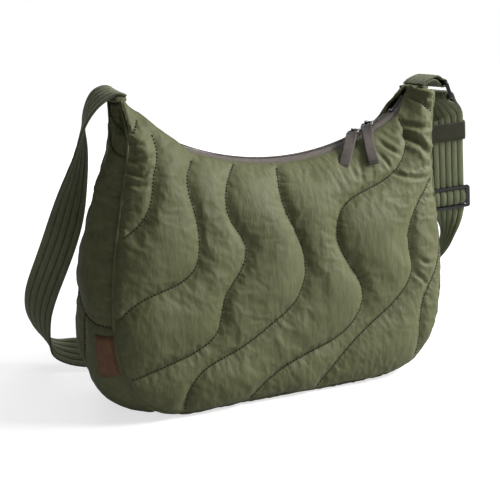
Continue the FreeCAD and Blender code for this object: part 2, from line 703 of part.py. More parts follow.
# ---------------------------------------------------------------- check and export
doc.recompute()
NODES = [
    "front_panel", "back_panel", "gusset", "front_lining", "back_lining", "gusset_lining",
    "inner_pocket", "zip_tape_front", "zip_tape_back", "zip_coil_front", "zip_coil_back",
    "zip_stop_left", "zip_stop_right", "slider_left", "slider_right", "pull_loop_left",
    "pull_loop_right", "ribbon_pull_left", "ribbon_pull_right", "horn_cap_left",
    "horn_cap_right", "shoulder_strap", "strap_anchor", "ring", "triglide", "strap_tail",
    "strap_keeper", "leather_tab",
]
os.makedirs("parts", exist_ok=True)
for obj in doc.Objects:
    if "Invalid" in obj.State or "Error" in obj.State:
        raise RuntimeError("bad state: %s %s" % (obj.Label, obj.State))
for node in NODES:
    found = [o for o in doc.Objects if o.Label == node]
    shape = found[0].Shape
    if shape.isNull() or not shape.isValid():
        raise RuntimeError("bad shape: " + node)
    shape.exportStep("parts/%s.step" % node)
    box = shape.optimalBoundingBox(False)
    print("%-18s solids %d vol %9.0f  x %7.1f %7.1f  y %7.1f %7.1f  z %7.1f %7.1f" % (
        node, len(shape.Solids), shape.Volume, box.XMin, box.XMax, box.YMin, box.YMax,
        box.ZMin, box.ZMax))
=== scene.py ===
import math

import bpy
import numpy as np
from mathutils import Euler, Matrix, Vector
from mathutils.geometry import delaunay_2d_cdt


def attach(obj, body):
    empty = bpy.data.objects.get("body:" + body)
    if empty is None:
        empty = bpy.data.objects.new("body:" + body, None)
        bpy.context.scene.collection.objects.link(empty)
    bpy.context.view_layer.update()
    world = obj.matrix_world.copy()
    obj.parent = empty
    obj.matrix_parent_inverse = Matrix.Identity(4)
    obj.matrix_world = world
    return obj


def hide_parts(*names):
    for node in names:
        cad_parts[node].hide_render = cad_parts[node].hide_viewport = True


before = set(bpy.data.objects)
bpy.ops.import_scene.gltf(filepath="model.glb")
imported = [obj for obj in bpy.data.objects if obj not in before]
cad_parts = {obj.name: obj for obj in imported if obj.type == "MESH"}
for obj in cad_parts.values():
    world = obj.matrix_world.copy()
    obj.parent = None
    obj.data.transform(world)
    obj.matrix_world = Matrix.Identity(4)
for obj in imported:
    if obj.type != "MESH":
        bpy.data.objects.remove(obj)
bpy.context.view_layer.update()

# Lengths are millimetres up to the point where a mesh is made.
MM = 0.001
rng = np.random.default_rng(7)
NOISE = rng.random((256, 256)) * 2.0 - 1.0

# ---------------------------------------------------------------- the bag's shape, as in its CAD
HEIGHT = 330.0
DEPTH_BASE = 60.0
DEPTH_TIP = 23.0
PUFF = 14.0
BULGE = 15.0
SHELL = 7.0
R_MOUTH = 300.0
Z_MOUTH = 554.0
LEFT_SLIDER = 21.1
RIGHT_SLIDER = 24.9
BAR_LIFT = 5.35
STITCH_DEPTH = 5.0       # the quilting lines lie this far below the CAD's smooth face
STEP = 3.2               # spacing of the simulated cloth's points
FLOOR_GAP = 0.3          # the cloth stays this far above the floor

SEAM_POINTS = [
    (-180, 323), (-176, 292), (-181, 253), (-192, 205), (-201, 152), (-204, 100),
    (-198, 56), (-183, 28), (-152, 8), (-100, 4), (0, 4), (98, 4),
    (150, 14), (182, 44), (195, 90), (197, 138), (193, 190), (191, 265), (199, 322),
]

# Quilting lines of the front, seen from the front (x, z).
QUILTING = [
    [(-150, 292), (-148, 272), (-155, 252), (-160, 228), (-172, 206), (-194, 190)],
    [(-104, 262), (-117, 243), (-115, 218), (-111, 182), (-119, 154), (-150, 138), (-182, 127), (-206, 106)],
    [(-50, 257), (-73, 229), (-73, 200), (-58, 172), (-65, 148), (-86, 121), (-97, 88), (-130, 68),
     (-165, 58), (-200, 47)],
    [(1, 257), (-9, 222), (1, 186), (12, 150), (2, 113), (-34, 86), (-78, 64), (-118, 47), (-134, 24),
     (-135, 0)],
    [(156, 300), (156, 270), (141, 241), (98, 218), (62, 197), (55, 167), (70, 136), (83, 105), (69, 76),
     (20, 52), (-35, 30), (-68, 0)],
    [(186, 226), (158, 191), (147, 157), (150, 125), (133, 98), (94, 71), (47, 34), (16, 0)],
    [(194, 156), (187, 121), (168, 93), (161, 66), (158, 32), (152, 8)],
    [(160, 322), (176, 313), (193, 298)],
    [(-163, 306), (-168, 297), (-178, 291)],
]

# Quilting of the side panel: (share across from the front seam, length along the seam).
SIDE_QUILTING = [
    [(0.0, 33), (0.25, 22), (0.6, 12), (1.0, 4)],
    [(0.0, 55), (0.3, 50), (0.55, 38), (0.8, 26), (1.0, 18)],
    [(0.0, 224), (0.22, 222), (0.42, 214), (0.6, 202), (0.8, 200), (1.0, 212)],
    [(0.42, 214), (0.45, 240), (0.56, 268), (0.8, 292), (1.0, 300)],
    [(0.0, 330), (0.3, 345), (0.6, 340), (1.0, 372)],
    [(0.0, 430), (0.35, 412), (0.7, 436), (1.0, 420)],
    [(0.0, 520), (0.35, 540), (0.7, 518), (1.0, 536)],
    [(0.0, 625), (0.4, 606), (0.75, 628), (1.0, 612)],
    [(0.0, 712), (0.35, 730), (0.7, 716), (1.0, 742)],
    [(0.0, 800), (0.3, 786), (0.65, 806), (1.0, 792)],
    [(0.0, 868), (0.3, 884), (0.6, 880), (1.0, 896)],
    [(0.0, 930), (0.4, 936), (1.0, 948)],
]


def spline(points, count):
    """Even steps along a smooth curve through the points."""
    p = np.asarray(points, float)
    t = run_of(p)
    n = len(p)
    h = np.diff(t)
    a = np.eye(n)
    b = np.zeros_like(p)
    for i in range(1, n - 1):
        a[i, i - 1], a[i, i], a[i, i + 1] = h[i - 1], 2.0 * (h[i - 1] + h[i]), h[i]
        b[i] = 6.0 * ((p[i + 1] - p[i]) / h[i] - (p[i] - p[i - 1]) / h[i - 1])
    m = np.linalg.solve(a, b)
    u = np.linspace(0.0, t[-1], 8 * count + 200)
    k = np.clip(np.searchsorted(t, u, side="right") - 1, 0, n - 2)
    r, s, w = (t[k + 1] - u)[:, None], (u - t[k])[:, None], h[k][:, None]
    fine = (m[k] * r ** 3 + m[k + 1] * s ** 3) / (6.0 * w)
    fine += (p[k] / w - m[k] * w / 6.0) * r + (p[k + 1] / w - m[k + 1] * w / 6.0) * s
    return even(fine, count)


def run_of(line):
    """The length along a line at each of its points."""
    return np.concatenate([[0.0], np.cumsum(np.linalg.norm(np.diff(line, axis=0), axis=1))])


def sample(at, run, line):
    """The places at some lengths along a line, or the values it carries there."""
    return np.stack([np.interp(at, run, line[:, k]) for k in range(line.shape[1])], -1)


def even(line, count):
    """A line's points at even steps."""
    run = run_of(line)
    return sample(np.linspace(0.0, run[-1], count), run, line)


def unit(v):
    """Vectors of length 1, one in each row."""
    v = np.asarray(v, float)
    return v / np.maximum(np.linalg.norm(v, axis=-1, keepdims=True), 1e-9)


def length_of(line):
    return float(np.linalg.norm(np.diff(line, axis=0), axis=1).sum())


def nearest(points, line):
    """For each point: its distance from a line, and the length along it."""
    a = line[:-1]
    d = np.diff(line, axis=0)
    size2 = np.maximum((d * d).sum(1), 1e-12)
    start = np.concatenate([[0.0], np.cumsum(np.sqrt(size2))])[:-1]
    dist = np.empty(len(points))
    run = np.empty(len(points))
    for k in range(0, len(points), 3000):
        p = points[k:k + 3000]
        wx = p[:, 0:1] - a[:, 0]
        wz = p[:, 1:2] - a[:, 1]
        t = np.clip((wx * d[:, 0] + wz * d[:, 1]) / size2, 0.0, 1.0)
        gap = (wx - t * d[:, 0]) ** 2 + (wz - t * d[:, 1]) ** 2
        j = gap.argmin(1)
        rows = np.arange(len(p))
        dist[k:k + 3000] = np.sqrt(gap[rows, j])
        run[k:k + 3000] = start[j] + t[rows, j] * np.sqrt(size2[j])
    return dist, run


def noise(u, v, seed=0):
    """Smooth noise from -1 to 1 over a square lattice."""
    u = np.asarray(u, float) + 37.0 * seed + 1000.0
    v = np.asarray(v, float) + 91.0 * seed + 1000.0
    i, j = np.floor(u).astype(int), np.floor(v).astype(int)
    f, g = u - i, v - j
    f, g = f * f * (3.0 - 2.0 * f), g * g * (3.0 - 2.0 * g)
    a, b = NOISE[i % 256, j % 256], NOISE[(i + 1) % 256, j % 256]
    c, d = NOISE[i % 256, (j + 1) % 256], NOISE[(i + 1) % 256, (j + 1) % 256]
    return (a * (1 - f) + b * f) * (1 - g) + (c * (1 - f) + d * f) * g


def ease(x, low, high):
    t = np.clip((x - low) / (high - low), 0.0, 1.0)
    return t * t * (3.0 - 2.0 * t)


SEAM = spline(SEAM_POINTS, 325)
SEAM_LENGTH = length_of(SEAM)
mouth = [(-175.5, 323), (-171, 311.5)]
for turn in [-32.6] + [5.0 * k for k in range(-6, 7)] + [32.6]:
    a = math.radians(turn)
    mouth.append((R_MOUTH * math.sin(a), Z_MOUTH - R_MOUTH * math.cos(a)))
mouth += [(172, 313.5), (177, 325.5)]
MOUTH = spline(mouth, 150)
MOUTH_LENGTH = length_of(MOUTH)


def half_depth(z):
    return DEPTH_BASE - (DEPTH_BASE - DEPTH_TIP) * np.clip(z / HEIGHT, 0.0, 1.0) ** 1.3


def face_depth(x, z, edge, from_seam, shut):
    """How far a face stands from the middle plane: a puffed body that slopes in to the mouth's edge."""
    below = nearest(np.stack([x, z], 1), edge)[0]
    lip = 14.0 - shut + (28.0 + shut) * (1.0 - np.exp(-below / (22.0 - 0.7 * shut))) + 0.16 * below
    inset = np.minimum(from_seam / 45.0, 1.0)
    body = half_depth(z) + PUFF * np.sqrt(1.0 - (1.0 - inset) ** 2)
    blend = 6.0
    h = np.clip(0.5 + 0.5 * (body - lip) / blend, 0.0, 1.0)
    return body + (lip - body) * h - blend * h * (1.0 - h)


def front_depth(x, z):
    """The CAD panels' outer face."""
    return face_depth(x, z, MOUTH, nearest(np.stack([x, z], 1), SEAM)[0], 0.0)


def seam_at(length):
    """Points on the seam at the given lengths along it, and the outward directions."""
    run = np.linspace(0.0, SEAM_LENGTH, len(SEAM))
    length = np.clip(length, 0.0, SEAM_LENGTH)
    way = sample(length, run, unit(np.gradient(SEAM, axis=0)))
    return sample(length, run, SEAM), np.stack([way[:, 1], -way[:, 0]], 1)


# ---------------------------------------------------------------- meshes
def make(name, points, faces, body, material):
    """A mesh from points in millimetres, riding on a CAD body."""
    mesh = bpy.data.meshes.new(name)
    mesh.from_pydata((np.asarray(points, float) * MM).tolist(), [], faces)
    mesh.update()
    obj = bpy.data.objects.new(name, mesh)
    bpy.context.scene.collection.objects.link(obj)
    mesh.polygons.foreach_set("use_smooth", [True] * len(mesh.polygons))
    mesh.materials.append(material)
    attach(obj, body)
    return obj


def grid_faces(rows, cols, start=0, wrap=False, flip=False):
    """Quads between neighbouring points of a grid; wrap also joins its last column to its first."""
    faces = []
    for i in range(rows - 1):
        for j in range(cols if wrap else cols - 1):
            a, b = start + i * cols + j, start + i * cols + (j + 1) % cols
            quad = (a, b, b + cols, a + cols)
            faces.append(quad[::-1] if flip else quad)
    return faces


def tube(sections):
    """Points and faces of a closed form swept through sections of equal size."""
    s = np.asarray(sections, float)
    n, m = s.shape[:2]
    faces = grid_faces(n, m, wrap=True)
    faces.append(tuple(range(m))[::-1])
    faces.append(tuple(range((n - 1) * m, n * m)))
    return s.reshape(-1, 3), faces


def merge(parts):
    """Several forms as one: points and faces."""
    points = []
    faces = []
    at = 0
    for p, f in parts:
        points.append(np.asarray(p, float))
        faces += [tuple(i + at for i in face) for face in f]
        at += len(p)
    return np.concatenate(points), faces


def coords(mesh):
    co = np.empty(len(mesh.vertices) * 3, np.float32)
    mesh.vertices.foreach_get("co", co)
    return co.reshape(-1, 3).astype(float) / MM


def set_coords(mesh, points):
    mesh.vertices.foreach_set("co", (np.asarray(points) * MM).astype(np.float32).ravel())
    mesh.update()


def normals(mesh):
    n = np.empty(len(mesh.vertices) * 3, np.float32)
    mesh.vertex_normals.foreach_get("vector", n)
    return n.reshape(-1, 3).astype(float)


def shade(mesh, values):
    """Painted shade along stitching and seams: the materials darken by this."""
    layer = mesh.attributes.new("seam_shade", "FLOAT", "POINT")
    layer.data.foreach_set("value", np.asarray(values, np.float32))


def subdivide(obj):
    """Replaces a mesh by its subdivided one, which keeps the creased edges sharp."""
    modifier = obj.modifiers.new("fine", "SUBSURF")
    modifier.levels = modifier.render_levels = 1
    finer = bpy.data.meshes.new_from_object(obj.evaluated_get(bpy.context.evaluated_depsgraph_get()))
    obj.modifiers.clear()
    old = obj.data
    obj.data = finer
    finer.name = obj.name
    bpy.data.meshes.remove(old)
    finer.polygons.foreach_set("use_smooth", [True] * len(finer.polygons))


# ---------------------------------------------------------------- materials
class Nodes:
    """Short calls for building one material."""

    def __init__(self, name):
        self.material = bpy.data.materials.new(name)
        self.material.use_nodes = True
        self.tree = self.material.node_tree
        self.shader = self.tree.nodes["Principled BSDF"]
        self.object = self.add("ShaderNodeTexCoord").outputs["Object"]

    def add(self, kind, **values):
        node = self.tree.nodes.new(kind)
        for key, value in values.items():
            setattr(node, key, value)
        return node

    def link(self, a, b):
        self.tree.links.new(a, b)

    def stretched(self, x, y, z):
        node = self.add("ShaderNodeMapping")
        node.inputs["Scale"].default_value = (x, y, z)
        self.link(self.object, node.inputs["Vector"])
        return node.outputs["Vector"]

    def noise(self, vector, scale, detail=3.0, rough=0.55):
        node = self.add("ShaderNodeTexNoise")
        node.inputs["Scale"].default_value = scale
        node.inputs["Detail"].default_value = detail
        node.inputs["Roughness"].default_value = rough
        self.link(vector, node.inputs["Vector"])
        return node.outputs["Fac"]

    def ramp(self, fac, stops):
        node = self.add("ShaderNodeValToRGB")
        points = node.color_ramp.elements
        while len(points) < len(stops):
            points.new(0.5)
        for point, (at, colour) in zip(points, stops):
            point.position = at
            point.color = (*colour, 1.0)
        self.link(fac, node.inputs["Fac"])
        return node.outputs["Color"]

    def feed(self, socket, value):
        """A socket takes a number, a colour or another node's output."""
        if isinstance(value, (int, float)):
            socket.default_value = value
        elif isinstance(value, tuple):
            socket.default_value = (*value, 1.0)
        else:
            self.link(value, socket)

    def math(self, kind, a, b):
        node = self.add("ShaderNodeMath", operation=kind)
        self.feed(node.inputs[0], a)
        self.feed(node.inputs[1], b)
        return node.outputs[0]

    def mix(self, fac, a, b, kind="MIX"):
        node = self.add("ShaderNodeMix", data_type="RGBA", blend_type=kind)
        for index, value in ((0, fac), (6, a), (7, b)):
            self.feed(node.inputs[index], value)
        return node.outputs[2]

    def attribute(self, name):
        return self.add("ShaderNodeAttribute", attribute_name=name).outputs["Fac"]

    def bump(self, height, distance, strength=1.0, after=None):
        node = self.add("ShaderNodeBump")
        node.inputs["Distance"].default_value = distance
        node.inputs["Strength"].default_value = strength
        self.link(height, node.inputs["Height"])
        if after is not None:
            self.link(after, node.inputs["Normal"])
        return node.outputs["Normal"]

    def finish(self, colour, normal=None, **sockets):
        self.link(colour, self.shader.inputs["Base Color"])
        if normal is not None:
            self.link(normal, self.shader.inputs["Normal"])
        for name, value in sockets.items():
            self.feed(self.shader.inputs[name.replace("_", " ")], value)
        return self.material


def nylon(name, light, dark, crinkle=0.0009, shade_by=0.22, sheen=0.04):
    """Crinkled nylon: soft cloudy colour, fine upright creases with painted shade in their valleys, painted
    shade along the stitching, a faint plain weave.
    """
    m = Nodes(name)
    clouds = m.noise(m.stretched(1.0, 1.0, 0.7), 22.0, 4.0, 0.6)
    creases = m.noise(m.stretched(1.0, 0.8, 0.26), 210.0, 4.0, 0.62)
    fine = m.noise(m.object, 900.0, 2.0)
    colour = m.ramp(clouds, [(0.3, dark), (0.72, light)])
    # painted shade: the crease valleys of the bump are darker
    painted_crease_shade = m.ramp(creases, [(0.32, (0.80,) * 3), (0.7, (1.06,) * 3)])
    colour = m.mix(1.0, colour, painted_crease_shade, "MULTIPLY")
    # painted shade along stitching, from the seam_shade attribute
    painted_shade = m.math("MULTIPLY", m.attribute("seam_shade"), shade_by)
    colour = m.mix(painted_shade, colour, tuple(0.22 * c for c in dark))
    weave = m.add("ShaderNodeTexWave", wave_type="BANDS", bands_direction="DIAGONAL")
    weave.inputs["Scale"].default_value = 900.0
    weave.inputs["Distortion"].default_value = 1.0
    m.link(m.object, weave.inputs["Vector"])
    normal = m.bump(creases, crinkle, 0.75)
    normal = m.bump(fine, 0.00022, 0.5, normal)
    normal = m.bump(weave.outputs["Fac"], 0.00006, 0.4, normal)
    return m.finish(colour, normal, Roughness=0.64, Sheen_Weight=sheen, Sheen_Roughness=0.5,
                    Specular_IOR_Level=0.30)


def ribbed(name, light, dark, way, scale, depth=0.0003, roughness=0.75):
    """Narrow woven goods, with ribs along one direction."""
    m = Nodes(name)
    ribs = m.add("ShaderNodeTexWave", wave_type="BANDS", bands_direction=way)
    ribs.inputs["Scale"].default_value = scale
    ribs.inputs["Distortion"].default_value = 0.6
    ribs.inputs["Detail"].default_value = 1.0
    m.link(m.object, ribs.inputs["Vector"])
    clouds = m.noise(m.object, 160.0, 3.0)
    grain = m.noise(m.object, 1500.0, 2.0)
    colour = m.ramp(clouds, [(0.3, dark), (0.7, light)])
    speckle = m.ramp(grain, [(0.3, (0.74,) * 3), (0.7, (1.1,) * 3)])
    colour = m.mix(1.0, colour, speckle, "MULTIPLY")
    # painted shade along stitching, from the seam_shade attribute
    painted_shade = m.math("MULTIPLY", m.attribute("seam_shade"), 0.7)
    colour = m.mix(painted_shade, colour, tuple(0.2 * c for c in dark))
    normal = m.bump(ribs.outputs["Fac"], depth, 0.6)
    normal = m.bump(grain, 0.0002, 0.5, normal)
    return m.finish(colour, normal, Roughness=roughness, Sheen_Weight=0.15, Sheen_Roughness=0.5,
                    Specular_IOR_Level=0.3)


def black_metal():
    m = Nodes("black_metal")
    clouds = m.noise(m.object, 300.0, 3.0)
    rough = m.ramp(clouds, [(0.35, (0.20,) * 3), (0.7, (0.34,) * 3)])
    colour = m.ramp(clouds, [(0.3, (0.010, 0.010, 0.012)), (0.75, (0.022, 0.022, 0.026))])
    return m.finish(colour, m.bump(clouds, 0.00005, 0.3), Roughness=rough, Metallic=0.55,
                    Specular_IOR_Level=0.6, Coat_Weight=0.35, Coat_Roughness=0.18)


def leather():
    m = Nodes("leather")
    cells = m.add("ShaderNodeTexVoronoi", feature="DISTANCE_TO_EDGE")
    cells.inputs["Scale"].default_value = 1500.0
    m.link(m.object, cells.inputs["Vector"])
    clouds = m.noise(m.object, 120.0, 4.0)
    colour = m.ramp(clouds, [(0.3, (0.090, 0.034, 0.008)), (0.72, (0.150, 0.060, 0.015))])
    # painted shade along stitching and edges, from the seam_shade attribute
    painted_shade = m.math("MULTIPLY", m.attribute("seam_shade"), 0.75)
    colour = m.mix(painted_shade, colour, (0.03, 0.010, 0.004))
    return m.finish(colour, m.bump(cells.outputs["Distance"], 0.00016, 0.7), Roughness=0.48,
                    Specular_IOR_Level=0.45)


def thread():
    m = Nodes("thread")
    twist = m.noise(m.object, 1800.0, 2.0)
    colour = m.ramp(twist, [(0.3, (0.012, 0.014, 0.006)), (0.7, (0.030, 0.034, 0.016))])
    return m.finish(colour, m.bump(twist, 0.00015, 0.6), Roughness=0.7, Specular_IOR_Level=0.25)


def white_floor():
    """A pale studio sweep with painted light: it glows strongly to the camera but only a little onto the
    bag, and more towards the horizon.
    """
    m = Nodes("floor")
    clouds = m.noise(m.object, 3.0, 2.0)
    length = m.add("ShaderNodeVectorMath", operation="LENGTH")
    m.link(m.object, length.inputs[0])
    away = m.add("ShaderNodeMapRange", interpolation_type="SMOOTHSTEP")
    for name, value in (("From Min", 0.45), ("From Max", 1.6), ("To Min", 0.68), ("To Max", 1.0)):
        away.inputs[name].default_value = value
    m.link(length.outputs["Value"], away.inputs["Value"])
    seen = m.add("ShaderNodeLightPath").outputs["Is Camera Ray"]
    # painted light: the floor's glow, full for camera rays and 0.12 of that for other rays
    glow = m.math("MULTIPLY", away.outputs["Result"], m.math("ADD", m.math("MULTIPLY", seen, 0.88), 0.12))
    return m.finish(m.ramp(clouds, [(0.3, (0.44,) * 3), (0.7, (0.46,) * 3)]), None, Roughness=0.9,
                    Specular_IOR_Level=0.0, Emission_Color=(1.0, 1.0, 1.0), Emission_Strength=glow)


OLIVE = (0.108, 0.114, 0.050)
OLIVE_DARK = (0.084, 0.089, 0.035)
SHELL_CLOTH = nylon("shell_nylon", OLIVE, OLIVE_DARK)
LINING_CLOTH = nylon("lining_nylon", (0.080, 0.084, 0.046), (0.062, 0.066, 0.036), 0.0005)
STRAP_CLOTH = nylon("strap_nylon", (0.150, 0.168, 0.092), (0.122, 0.138, 0.072), 0.0004, 0.8)
TAPE_CLOTH = ribbed("zip_tape", (0.130, 0.110, 0.096), (0.098, 0.082, 0.070), "X", 420.0)
COIL_PLASTIC = ribbed("zip_coil", (0.110, 0.088, 0.082), (0.080, 0.064, 0.060), "Y", 900.0, 0.0001, 0.45)
RIBBON_CLOTH = ribbed("grosgrain", (0.086, 0.071, 0.061), (0.058, 0.047, 0.040), "DIAGONAL", 330.0, 0.0003)
KEEPER_CLOTH = ribbed("keeper_elastic", (0.034, 0.033, 0.013), (0.025, 0.024, 0.009), "Z", 500.0)
BLACK = black_metal()
LEATHER = leather()
THREAD = thread()
FLOOR = white_floor()


# ---------------------------------------------------------------- quilted panels
def inside(points, loop):
    """Which points lie inside a closed loop."""
    x, z = points[:, 0:1], points[:, 1:2]
    a, b = loop, np.roll(loop, -1, axis=0)
    cross = (a[:, 1] > z) != (b[:, 1] > z)
    dz = np.where(np.abs(b[:, 1] - a[:, 1]) < 1e-9, 1e-9, b[:, 1] - a[:, 1])
    at = a[:, 0] + (z - a[:, 1]) * (b[:, 0] - a[:, 0]) / dz
    return (np.sum(cross & (x < at), axis=1) % 2) == 1


# How far the cloth's edge puffs up over the zip (or lies below it), along x.
FRONT_LIP = [(-175.5, 5.0), (-171, 9.0), (-165, 11.5), (-157, 12.0), (-150, 9.5), (-141, 6.5), (-130, 4.0),
             (-120, 2.0), (-112, -1.0), (-104, -3.6), (60, -4.4), (150, -4.0), (157, -2.5), (164, 1.0),
             (171, 6.0), (177, 2.5)]
BACK_LIP = [(-175.5, 5.0), (-171, 8.0), (-165, 8.0), (-157, 5.0), (-150, 1.5), (-141, -2.0), (-130, -4.0),
            (-118, -4.5), (-40, -3.0), (40, -3.0), (120, -4.5), (142, -3.0), (150, 1.0), (157, 6.0),
            (164, 10.0), (171, 11.0), (177, 3.0)]


def lip_edge(side):
    """The cloth's edge along the mouth, which closes over the zip's ends at the horns."""
    lip = np.array(FRONT_LIP if side < 0 else BACK_LIP)
    edge = MOUTH.copy()
    edge[:, 1] += np.interp(edge[:, 0], lip[:, 0], lip[:, 1])
    return edge


def cloth_depth(x, z, edge):
    """The cloth's face, from its own edge: the two faces close on each other at the horn tips."""
    from_seam = nearest(np.stack([x, z], 1), SEAM)[0]
    shut = 8.0 * ease(np.abs(x - 4.0), 153.0, 166.0) * ease(from_seam, 2.0, 14.0)
    return face_depth(x, z, edge, from_seam, shut)


def triangulate(loop, lines):
    """Triangles inside a loop, with points along each line, evenly spread between."""
    points = [loop]
    edges = [(i, (i + 1) % len(loop)) for i in range(len(loop))]
    at = len(loop)
    for line in lines:
        points.append(line)
        edges += [(at + i, at + i + 1) for i in range(len(line) - 1)]
        at += len(line)
    low, high = loop.min(0), loop.max(0)
    rows = np.arange(low[1], high[1], STEP * 0.866)
    fill = []
    for i, z in enumerate(rows):
        x = np.arange(low[0] + (i % 2) * STEP / 2.0, high[0], STEP)
        fill.append(np.stack([x, np.full_like(x, z)], 1))
    fill = np.concatenate(fill)
    fill += rng.normal(0.0, 0.16, fill.shape)
    fill = fill[inside(fill, loop)]
    for line in [np.vstack([loop, loop[:1]])] + list(lines):
        fill = fill[nearest(fill, line)[0] > STEP * 0.6]
    points.append(fill)
    made = delaunay_2d_cdt([Vector(p) for p in np.concatenate(points)], edges, [], 1, 1e-4)
    flat = np.array([tuple(v) for v in made[0]])
    faces = [tuple(f) for f in made[2]]
    return flat, faces


def pillow(count, faces, held):
    """Height of a film blown up between the held points: half the width of each channel."""
    e = np.array([(f[i], f[(i + 1) % len(f)]) for f in faces for i in range(len(f))])
    e = np.concatenate([e, e[:, ::-1]])
    degree = np.maximum(np.bincount(e[:, 0], minlength=count), 1)
    height = np.zeros(count)
    for _ in range(420):
        mean = np.bincount(e[:, 0], weights=height[e[:, 1]], minlength=count) / degree
        height = np.where(held, 0.0, mean + STEP * STEP / 2.0)
    return np.sqrt(np.maximum(height, 0.0))


def boundary_loop(faces):
    """The outer edge's points in order."""
    following = {}
    seen = set()
    for f in faces:
        for i in range(len(f)):
            seen.add((f[i], f[(i + 1) % len(f)]))
    for a, b in seen:
        if (b, a) not in seen:
            following[a] = b
    start = min(following)
    loop = [start]
    while following[loop[-1]] != start:
        loop.append(following[loop[-1]])
    return loop


RIM = [(0.8, 1.2), (0.9, 2.8), (-0.4, 4.2), (-3.0, 5.2)]   # (outward, backward) of the turned edge


def quilted_panel(name, side, lines2d):
    """One face of the bag: points, faces and what is held by stitching, before the cloth swells."""
    edge = lip_edge(side)
    top = even(edge, int(MOUTH_LENGTH / STEP))[::-1]
    loop = np.concatenate([even(SEAM, int(SEAM_LENGTH / STEP)), top])
    closed = np.vstack([loop, loop[:1]])
    lines = []
    for points in lines2d:
        line = spline(points, 200)
        line = line[inside(line, loop)]
        line = line[nearest(line, closed)[0] > 1.0]
        lines.append(even(line, max(int(length_of(line) / STEP), 3)))
    flat, faces = triangulate(loop, lines)
    area = sum(np.cross(flat[f[1]] - flat[f[0]], flat[f[2]] - flat[f[0]]) for f in faces)
    if (area > 0) != (side < 0):
        faces = [f[::-1] for f in faces]
    ring = boundary_loop(faces)
    rim_gap = nearest(flat, closed)[0]
    line_gap = np.min([nearest(flat, line)[0] for line in lines], axis=0)
    held = (rim_gap < 0.05) | (line_gap < 0.05)
    full = pillow(len(flat), faces, held)
    depth = cloth_depth(flat[:, 0], flat[:, 1], edge)
    depth -= STITCH_DEPTH * (1.0 - np.exp(-rim_gap / 7.0))
    depth += 0.30 * full * (1.0 - 0.8 * np.exp(-line_gap / 4.5))
    points = np.stack([flat[:, 0], side * depth, flat[:, 1]], 1)
    way = unit(np.roll(flat[ring], -1, axis=0) - np.roll(flat[ring], 1, axis=0))
    out = np.stack([way[:, 1], -way[:, 0]], 1)
    if np.mean((flat[ring] + out * 2.0 - flat.mean(0)) ** 2) < np.mean((flat[ring] - flat.mean(0)) ** 2):
        out = -out
    previous = list(ring)
    rim = []
    count = len(points)
    for outward, backward in RIM:
        row = points[ring].copy()
        row[:, 0] += out[:, 0] * outward
        row[:, 2] = np.maximum(row[:, 2] + out[:, 1] * outward, FLOOR_GAP)
        near_tip = ease(np.abs(row[:, 0] - 2.0), 150.0, 166.0) * (row[:, 2] > 285.0)
        row[:, 1] -= side * backward * (1.0 - 0.6 * near_tip)
        ids = list(range(count, count + len(ring)))
        for i in range(len(ring)):
            j = (i + 1) % len(ring)
            faces.append((previous[j], previous[i], ids[i], ids[j]))
        rim.append(row)
        previous = ids
        count += len(ring)
    points = np.concatenate([points] + rim)
    pinned = np.concatenate([held, np.ones(count - len(held), bool)])
    return {"name": name, "points": points, "faces": faces, "pinned": pinned, "lines": lines,
            "loop": closed, "side": side}


def side_point(length, v, lift=0.0, slack=0.0):
    """The side panel's surface: length along the seam, v from the front seam to the back one."""
    p, n = seam_at(length)
    q = p - n * SHELL
    half = np.minimum(half_depth(p[:, 1]), front_depth(q[:, 0], q[:, 1])) - 4.2
    down = np.maximum(-n[:, 1], 0.0)
    s = np.clip(length / SEAM_LENGTH, 0.0, 1.0)
    swell = BULGE * np.abs(n[:, 0]) * np.sin(math.pi * s) ** 0.35 + 5.2 * down
    across = np.abs(2.0 * v - 1.0)
    soft = slack * (np.maximum(-n[:, 0], 0.0) + 0.5 * np.maximum(n[:, 0], 0.0)) * np.sin(math.pi * s) ** 0.35
    rise = (1.0 - across ** 2.6) * (swell + soft) + lift
    z = np.maximum(p[:, 1] + n[:, 1] * rise, FLOOR_GAP)
    return np.stack([p[:, 0] + n[:, 0] * rise, (2.0 * v - 1.0) * half, z], 1)


def quilted_side():
    """The side panel as one long strip from horn to horn."""
    wide = 110.0
    loop = []
    length = SEAM_LENGTH
    for a, b in (((0, 0), (0, length)), ((0, length), (wide, length)), ((wide, length), (wide, 0)),
                 ((wide, 0), (0, 0))):
        n = int(np.hypot(b[0] - a[0], b[1] - a[1]) / STEP)
        t = np.arange(n)[:, None] / n
        loop.append(np.array(a) * (1 - t) + np.array(b) * t)
    loop = np.concatenate(loop)
    lines = []
    for points in SIDE_QUILTING:
        line = spline([(v * wide, at) for v, at in points], 200)
        line = line[(line[:, 0] > 1.2) & (line[:, 0] < wide - 1.2)]
        lines.append(even(line, int(length_of(line) / STEP)))
    flat, faces = triangulate(loop, lines)
    rim_gap = np.minimum(flat[:, 0], wide - flat[:, 0])
    line_gap = np.min([nearest(flat, line)[0] for line in lines], axis=0)
    ends = (flat[:, 1] < 0.5) | (flat[:, 1] > length - 0.5)
    held = (rim_gap < 0.05) | (line_gap < 0.05) | ends
    full = pillow(len(flat), faces, held)
    lift = 0.13 * full - 3.2 * (1.0 - np.exp(-rim_gap / 10.0))
    points = side_point(flat[:, 1], flat[:, 0] / wide, lift, 8.0)
    inner = side_point(flat[:, 1], flat[:, 0] / wide, lift - 4.0, 8.0)
    a, b, c = (points[[f[k] for f in faces]] for k in range(3))
    facing = np.cross(b - a, c - a)
    away = (points - inner)[[f[0] for f in faces]]
    if np.mean(np.sum(facing * away, axis=1)) < 0:
        faces = [f[::-1] for f in faces]
    return {"name": "gusset_cloth", "points": points, "faces": faces, "pinned": held, "lines": lines,
            "flat": flat, "wide": wide}


